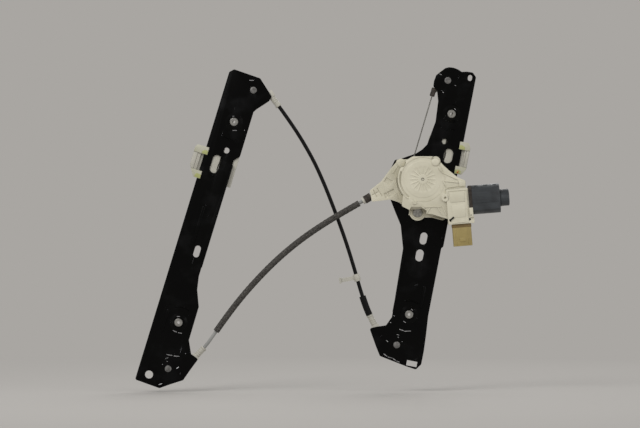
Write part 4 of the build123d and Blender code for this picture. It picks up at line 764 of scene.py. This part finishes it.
# ---- motor can: crimped tabs, ridges and the bearing cap ----------------------------------------
CAN_START, CAN_END = 71.0, 112.5
CAN_DEEP, CAN_R = 15.0, 21.75
CAN_BARS = [                    # x, y, z, size, turn, edge: the crease, then the crimped tabs
    ((CAN_START + CAN_END) / 2 + 1, -CAN_DEEP - 0.05, -4.4, (36.0, 0.8, 1.5), 0, 0.35),
    *[(x, y, CAN_R - 1.2, (5.5, 4.0, 1.0)) for y in (-6.0, 6.0) for x in (78.0, 92.0, 106.0)],
]
CAP_RIM = [(9.0, 13.3), (9.0, 14.0), (11.2, 14.0), (11.8, 13.3)]        # radius, past the can's end
CAP_STEP = [(12.3, 0.5), (12.9, 1.2), (12.9, 2.6), (12.3, 3.4)]
GASKET_LIPS = [(x, y, 0, (0.8, 0.8, 30.0), 0, 0.25)
               for y in (-CAN_DEEP - 0.2, CAN_DEEP + 0.2) for x in (67.2, 69.6)]


def can_trim():
    """A crease along the can, its crimped tabs, and the rims of the bearing's cap."""
    trim = bmesh.new()
    for block in CAN_BARS:
        bar(trim, MOTOR, *block)
    axis_place = MOTOR @ Matrix.Rotation(math.radians(-90), 4, "Z")
    for outline in (CAP_RIM, CAP_STEP):
        ring(trim, axis_place, outline, y=CAN_END)
    piece("can_trim", trim, "can_steel", "frame")


def gasket_lips():
    """Two lips of the seal between the can and the box, front and back."""
    seals = bmesh.new()
    for lip in GASKET_LIPS:
        bar(seals, MOTOR, *lip)
    piece("gasket_lips", seals, "dark_rubber", "frame")


# ---- plug socket: latch, keys and collar --------------------------------------------------------
PLUG_FACE = -8.5
PLUG_X = 52.5
PLUG_BARS = [                   # x, y, z, size, turn, edge: latch, two keys, mouth lip
    (PLUG_X, PLUG_FACE - 0.2, -58.0, (9.0, 1.4, 6.0), 0, 0.5),
    (PLUG_X - 9.3, PLUG_FACE, -53.5, (1.6, 0.9, 26.0)),
    (PLUG_X + 9.3, PLUG_FACE, -53.5, (1.6, 0.9, 26.0)),
    (PLUG_X, PLUG_FACE + 0.1, -66.7, (27.6, 0.8, 1.2)),
]
PLUG_COLLAR = (PLUG_X, 0, -37.2, (28.9, 18.0, 4.6), 0, 0.5)


def plug_keys():
    """The latch, keys and lip on the plug socket."""
    keys = bmesh.new()
    for block in PLUG_BARS:
        bar(keys, MOTOR, *block)
    piece("plug_keys", keys, "ochre_plastic", "frame")


def plug_collar():
    """The collar where the socket leaves the box, darker than the socket: painted shade under the
    box.
    """
    collar = bmesh.new()
    bar(collar, MOTOR, *PLUG_COLLAR)
    piece("plug_collar", collar, "ochre_plastic", "frame", PLUG_SHADE_PLASTIC)


# ---- sliders: shells, guide shoes and a dab of grease --------------------------------------------
HOOK_FACE = -3.9
SHELL_FACE = -1.8               # front of the slider's side between its hooks
SHELLS = {                      # x inward from the guide edge, z from the slider's middle
    "left": [(-15.4, 12.6), (-9.4, 12.6), (-9.4, -12.6), (-12.4, -12.6), (-15.4, -8.2)],
    "right": [(-11.1, 12.6), (-7.4, 12.6), (-7.4, -12.6), (-11.1, -12.6)],
}
SHELL_HEIGHT, SHELL_EDGE = 1.5, 0.6
BITE = 0.2                      # how far a pad is set into the face that it stands on
SLIDER_BARS = [                 # x inward from the guide edge, y, z, size, turn, edge
    (-5.4, SHELL_FACE - BITE, 0, (1.3, 1.2, 25.2)),
    *[(49.6, 8.0, z, (5.2, 9.0, 1.2), 0, 0.25) for z in (-18.0, -6.0, 6.0, 18.0)],
    (27.0, 22.3, -16.5, (34.0, 1.2, 1.6)),
]
SHOES = [                       # outlines of the tabs over the web's edge, upper one first
    [(-3.8, 13.0), (4.7, 13.0), (4.7, 18.6), (1.0, 19.4), (-3.8, 17.0)],
    [(-4.2, -24.0), (4.7, -24.0), (4.7, -18.4), (-1.6, -17.4), (-4.2, -19.6)],
]
SHOE_HEIGHT, SHOE_EDGE = 0.45, 0.2
GREASE_DAB = (-0.3, -21.4, 4.6, 2.8, 0.7, 12, HOOK_FACE)    # x, z, length, width, height, turn, y


def slider_ribs(side, place, way):
    """The shell between a slider's hooks, and the ribs behind the rail."""
    ribs = bmesh.new()
    shell = [(way * x, z) for x, z in SHELLS[side]]
    slab(ribs, place, shell, SHELL_FACE + BITE, SHELL_HEIGHT, SHELL_EDGE)
    for x, *block in SLIDER_BARS:
        bar(ribs, place, way * x, *block)
    piece(f"{side}_slider_ribs", ribs, "pale_plastic", f"{side}_slider")


def guide_shoes(side, place, way):
    """The green tabs that run on the front of the web's edge."""
    shoes = bmesh.new()
    for outline in SHOES:
        shoe = [(way * x, z) for x, z in outline]
        slab(shoes, place, shoe, HOOK_FACE + BITE, SHOE_HEIGHT, SHOE_EDGE)
    piece(f"{side}_guide_shoes", shoes, "hook_plastic", f"{side}_slider", GREEN_PLASTIC)


def grease_dab():
    """Grease that has gathered on the right slider's lower hook."""
    dab = bmesh.new()
    pill(dab, RIGHT_SLIDER, *GREASE_DAB)
    piece("grease_dab", dab, "hook_plastic", "right_slider", GREASE)


# ---- conduits -------------------------------------------------------------------------------------
SHEATH_ROUTE = [
    (-138.63, -9.78, -133.8), (-152.25, -9.5, -141.45), (-189.75, -8.0, -163.5),
    (-227.25, -5.5, -189.0), (-264.75, -2.5, -220.5), (-302.25, 1.0, -259.5),
    (-332.25, 4.0, -296.25), (-353.21, 5.51, -326.2),
]
SHEATH_R, SHEATH_BORE_R = 4.6, 2.55
SHEATH_SIDES = 32
RIPPLE = 0.12                   # how far the sleeve swells where it bunches up
RIPPLE_PACE = 0.9               # radians of ripple for each millimetre along it


def smooth_line(points):
    """Closely spaced points on a smooth spline with these control points."""
    data = bpy.data.curves.new("line", "CURVE")
    data.dimensions = "3D"
    data.resolution_u = 20
    spline = data.splines.new("NURBS")
    spline.points.add(len(points) - 1)
    for target, point in zip(spline.points, points):
        target.co = (*(Vector(point) * MM), 1.0)
    spline.order_u = 3
    spline.use_endpoint_u = True
    holder = bpy.data.objects.new("line", data)
    mesh = bpy.data.meshes.new_from_object(holder)
    line = [vert.co.copy() for vert in mesh.vertices]
    bpy.data.objects.remove(holder)
    return line


def station(vert, count):
    """Where a corner of the flat grid goes on the tube: the side, the line's point, the bore."""
    side = round((vert.co.x + 0.5) * SHEATH_SIDES)
    row = round((vert.co.y + 0.5) * 2 * count)
    in_bore = count <= row < 2 * count
    at = 2 * count - 1 - row if in_bore else row % (2 * count)
    return side, at, in_bore


def sheath_point(line, run, side, at, in_bore):
    """A point of the tube, out along the sleeve and back through its bore."""
    ahead = (line[min(at + 1, len(line) - 1)] - line[max(at - 1, 0)]).normalized()
    across = ahead.cross(Vector((0, 1, 0))).normalized()
    lift = across.cross(ahead)
    bearing = math.tau * side / SHEATH_SIDES
    swell = RIPPLE * math.sin(run * RIPPLE_PACE + 2 * bearing)
    radius = SHEATH_BORE_R if in_bore else SHEATH_R + swell
    return line[at] + (across * math.cos(bearing) + lift * math.sin(bearing)) * radius * MM


def conduit_sleeve():
    """The textile sleeve of conduit A, with a UV map in millimetres: u round it, v along it."""
    line = smooth_line(SHEATH_ROUTE)
    runs = [0.0]
    for a, b in zip(line, line[1:]):
        runs.append(runs[-1] + (b - a).length / MM)
    sleeve = bmesh.new()
    bmesh.ops.create_grid(sleeve, x_segments=SHEATH_SIDES, y_segments=2 * len(line), size=0.5)
    stations = {vert: station(vert, len(line)) for vert in sleeve.verts}
    uv = sleeve.loops.layers.uv.new("UVMap")
    for face in sleeve.faces:
        for loop in face.loops:
            side, at = stations[loop.vert][:2]
            loop[uv].uv = (side / SHEATH_SIDES * math.tau * SHEATH_R, runs[at])
    for vert, (side, at, in_bore) in stations.items():
        vert.co = sheath_point(line, runs[at], side, at, in_bore)
    thing = piece("conduit_a_sleeve", sleeve, "sheath_fabric", "frame")
    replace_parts(thing, "conduit_a_sheath")


FERRULES = [                    # start and end of each ferrule
    ((-390.23, 6.0, -369.95), (-371.35, 5.97, -350.65)),
    ((-275.06, 6.0, 33.02), (-258.81, 6.0, 11.46)),
    ((-110.8, 6.0, -325.62), (-122.99, 6.0, -301.53)),
]
RIDGE = [(4.2, -0.6), (4.75, -0.35), (4.75, 0.35), (4.2, 0.6)]         # radius, y
RIDGES_Y = (12.5, 15.5, 18.5)
FERRULE_LIP = [(4.2, 24.2), (5.0, 24.6), (5.0, 26.2), (4.2, 26.6)]
BUSH = ((-25.69, 5.50, 38.68), (-29.12, 4.31, 27.24))
BOOT = [                        # radius, y from the bush's start
    (1.4, -0.4), (3.2, -0.4), (3.7, 0.2), (3.7, 4.6), (3.5, 5.0), (3.5, 6.4), (3.7, 6.8),
    (3.7, 11.8), (3.2, 12.4), (1.4, 12.4),
]


def ferrule_ridges():
    """Grip ridges and an end lip on each pale ferrule."""
    ridges = bmesh.new()
    for start, end in FERRULES:
        place = span(start, end)
        for y in RIDGES_Y:
            ring(ridges, place, RIDGE, y=y, steps=32)
        ring(ridges, place, FERRULE_LIP, steps=32)
    piece("ferrule_ridges", ridges, "pale_plastic", "frame")


def cable_bush_boot():
    """Rubber boot over the bush that leads the bare cable off the right head."""
    boot = bmesh.new()
    ring(boot, span(*BUSH), BOOT, steps=32)
    piece("cable_bush_boot", boot, "dark_rubber", "frame")


rail_beads()
painted_glints()
nut_threads()
gear_cover()
hub_hole_shade()
gear_housing_ribs()
drum_housing_ribs()
main_screw()
box_panels()
box_vent_plugs()
can_trim()
gasket_lips()
plug_keys()
plug_collar()
for side, place, way in (("left", LEFT_SLIDER, 1), ("right", RIGHT_SLIDER, -1)):
    slider_ribs(side, place, way)
    guide_shoes(side, place, way)
grease_dab()
conduit_sleeve()
ferrule_ridges()
cable_bush_boot()

# ---- camera, light and floor ------------------------------------------------------------------
VIEW_CENTRE = Vector((-197.25, 0.0, -150.0)) * MM
VIEW_WIDTH = 960 * MM
LENS = 200.0
SENSOR = 36.0
camera_data = bpy.data.cameras.new("camera")
camera_data.lens = LENS
camera_data.sensor_width = SENSOR
camera = link("camera", camera_data)
camera.location = VIEW_CENTRE - Vector((0, VIEW_WIDTH * LENS / SENSOR, 0))
camera.rotation_euler = (math.radians(90), 0, 0)
bpy.context.scene.camera = camera


def lamp(name, power, size, spot):
    """A square soft box that faces the object; its size and spot are in metres."""
    data = bpy.data.lights.new(name, "AREA")
    data.energy = power
    data.size = size
    thing = link(name, data)
    thing.location = spot
    thing.rotation_euler = (VIEW_CENTRE - Vector(spot)).to_track_quat("-Z", "Y").to_euler()


lamp("key_box", 22.0, 1.0, (-1.3, -1.6, 1.2))
lamp("fill_box", 9.0, 1.6, (1.5, -1.5, 0.4))
lamp("back_box", 10.0, 1.4, (0.4, 1.8, 1.0))

BACKDROP = "A9A6A2"
SOFT_LIGHT = 0.78               # strength of the white light that only the object and floor see
FLOOR_HALF = 9.0                # metres
FLOOR_SPOT = (VIEW_CENTRE.x, 0, cad_box[0].z - 6 * MM)
FADE_START, FADE_END = 0.35, 1.3    # metres from that spot


def studio():
    """A soft white light all round, which the camera and reflections see as the backdrop."""
    world = bpy.data.worlds.new("studio")
    bpy.context.scene.world = world
    world.use_nodes = True
    sky = world.node_tree
    seen = add(sky, "ShaderNodeLightPath")
    mirrored = add(sky, "ShaderNodeMath", {
        0: seen.outputs["Is Glossy Ray"], 1: seen.outputs["Is Transmission Ray"]},
        operation="MAXIMUM")
    shown = add(sky, "ShaderNodeMath", {
        0: seen.outputs["Is Camera Ray"], 1: mirrored.outputs[0]}, operation="MAXIMUM")
    soft = add(sky, "ShaderNodeBackground", {"Color": (1, 1, 1, 1), "Strength": SOFT_LIGHT})
    pale = add(sky, "ShaderNodeBackground", {"Color": linear(BACKDROP), "Strength": 1.0})
    blend = add(sky, "ShaderNodeMixShader", {
        0: shown.outputs[0], 1: soft.outputs[0], 2: pale.outputs[0]})
    sky.links.new(blend.outputs[0], sky.nodes["World Output"].inputs["Surface"])


def painted_board():
    """Painted board that takes the object's shadow close by and runs out into the backdrop."""
    material, tree, shader = surface("painted_board", BACKDROP, 0.9, Specular_IOR_Level=0.1)
    ground = add(tree, "ShaderNodeNewGeometry")
    apart = add(tree, "ShaderNodeVectorMath", {
        0: ground.outputs["Position"], 1: FLOOR_SPOT}, operation="DISTANCE")
    far = add(tree, "ShaderNodeMapRange", {
        "Value": apart.outputs["Value"], "From Min": FADE_START, "From Max": FADE_END})
    glow = add(tree, "ShaderNodeEmission", {"Color": linear(BACKDROP), "Strength": 1.0})
    sweep = add(tree, "ShaderNodeMixShader", {
        0: far.outputs["Result"], 1: shader.outputs[0], 2: glow.outputs[0]})
    tree.links.new(sweep.outputs[0], tree.nodes["Material Output"].inputs["Surface"])
    return material


def floor():
    """The board that the object stands over."""
    bm = bmesh.new()
    bmesh.ops.create_grid(bm, x_segments=1, y_segments=1, size=FLOOR_HALF)
    bmesh.ops.translate(bm, verts=bm.verts, vec=FLOOR_SPOT)
    mesh = bpy.data.meshes.new("floor")
    bm.to_mesh(mesh)
    bm.free()
    mesh.materials.append(painted_board())
    link("floor", mesh)


studio()
floor()
bpy.context.scene.view_settings.view_transform = "Standard"
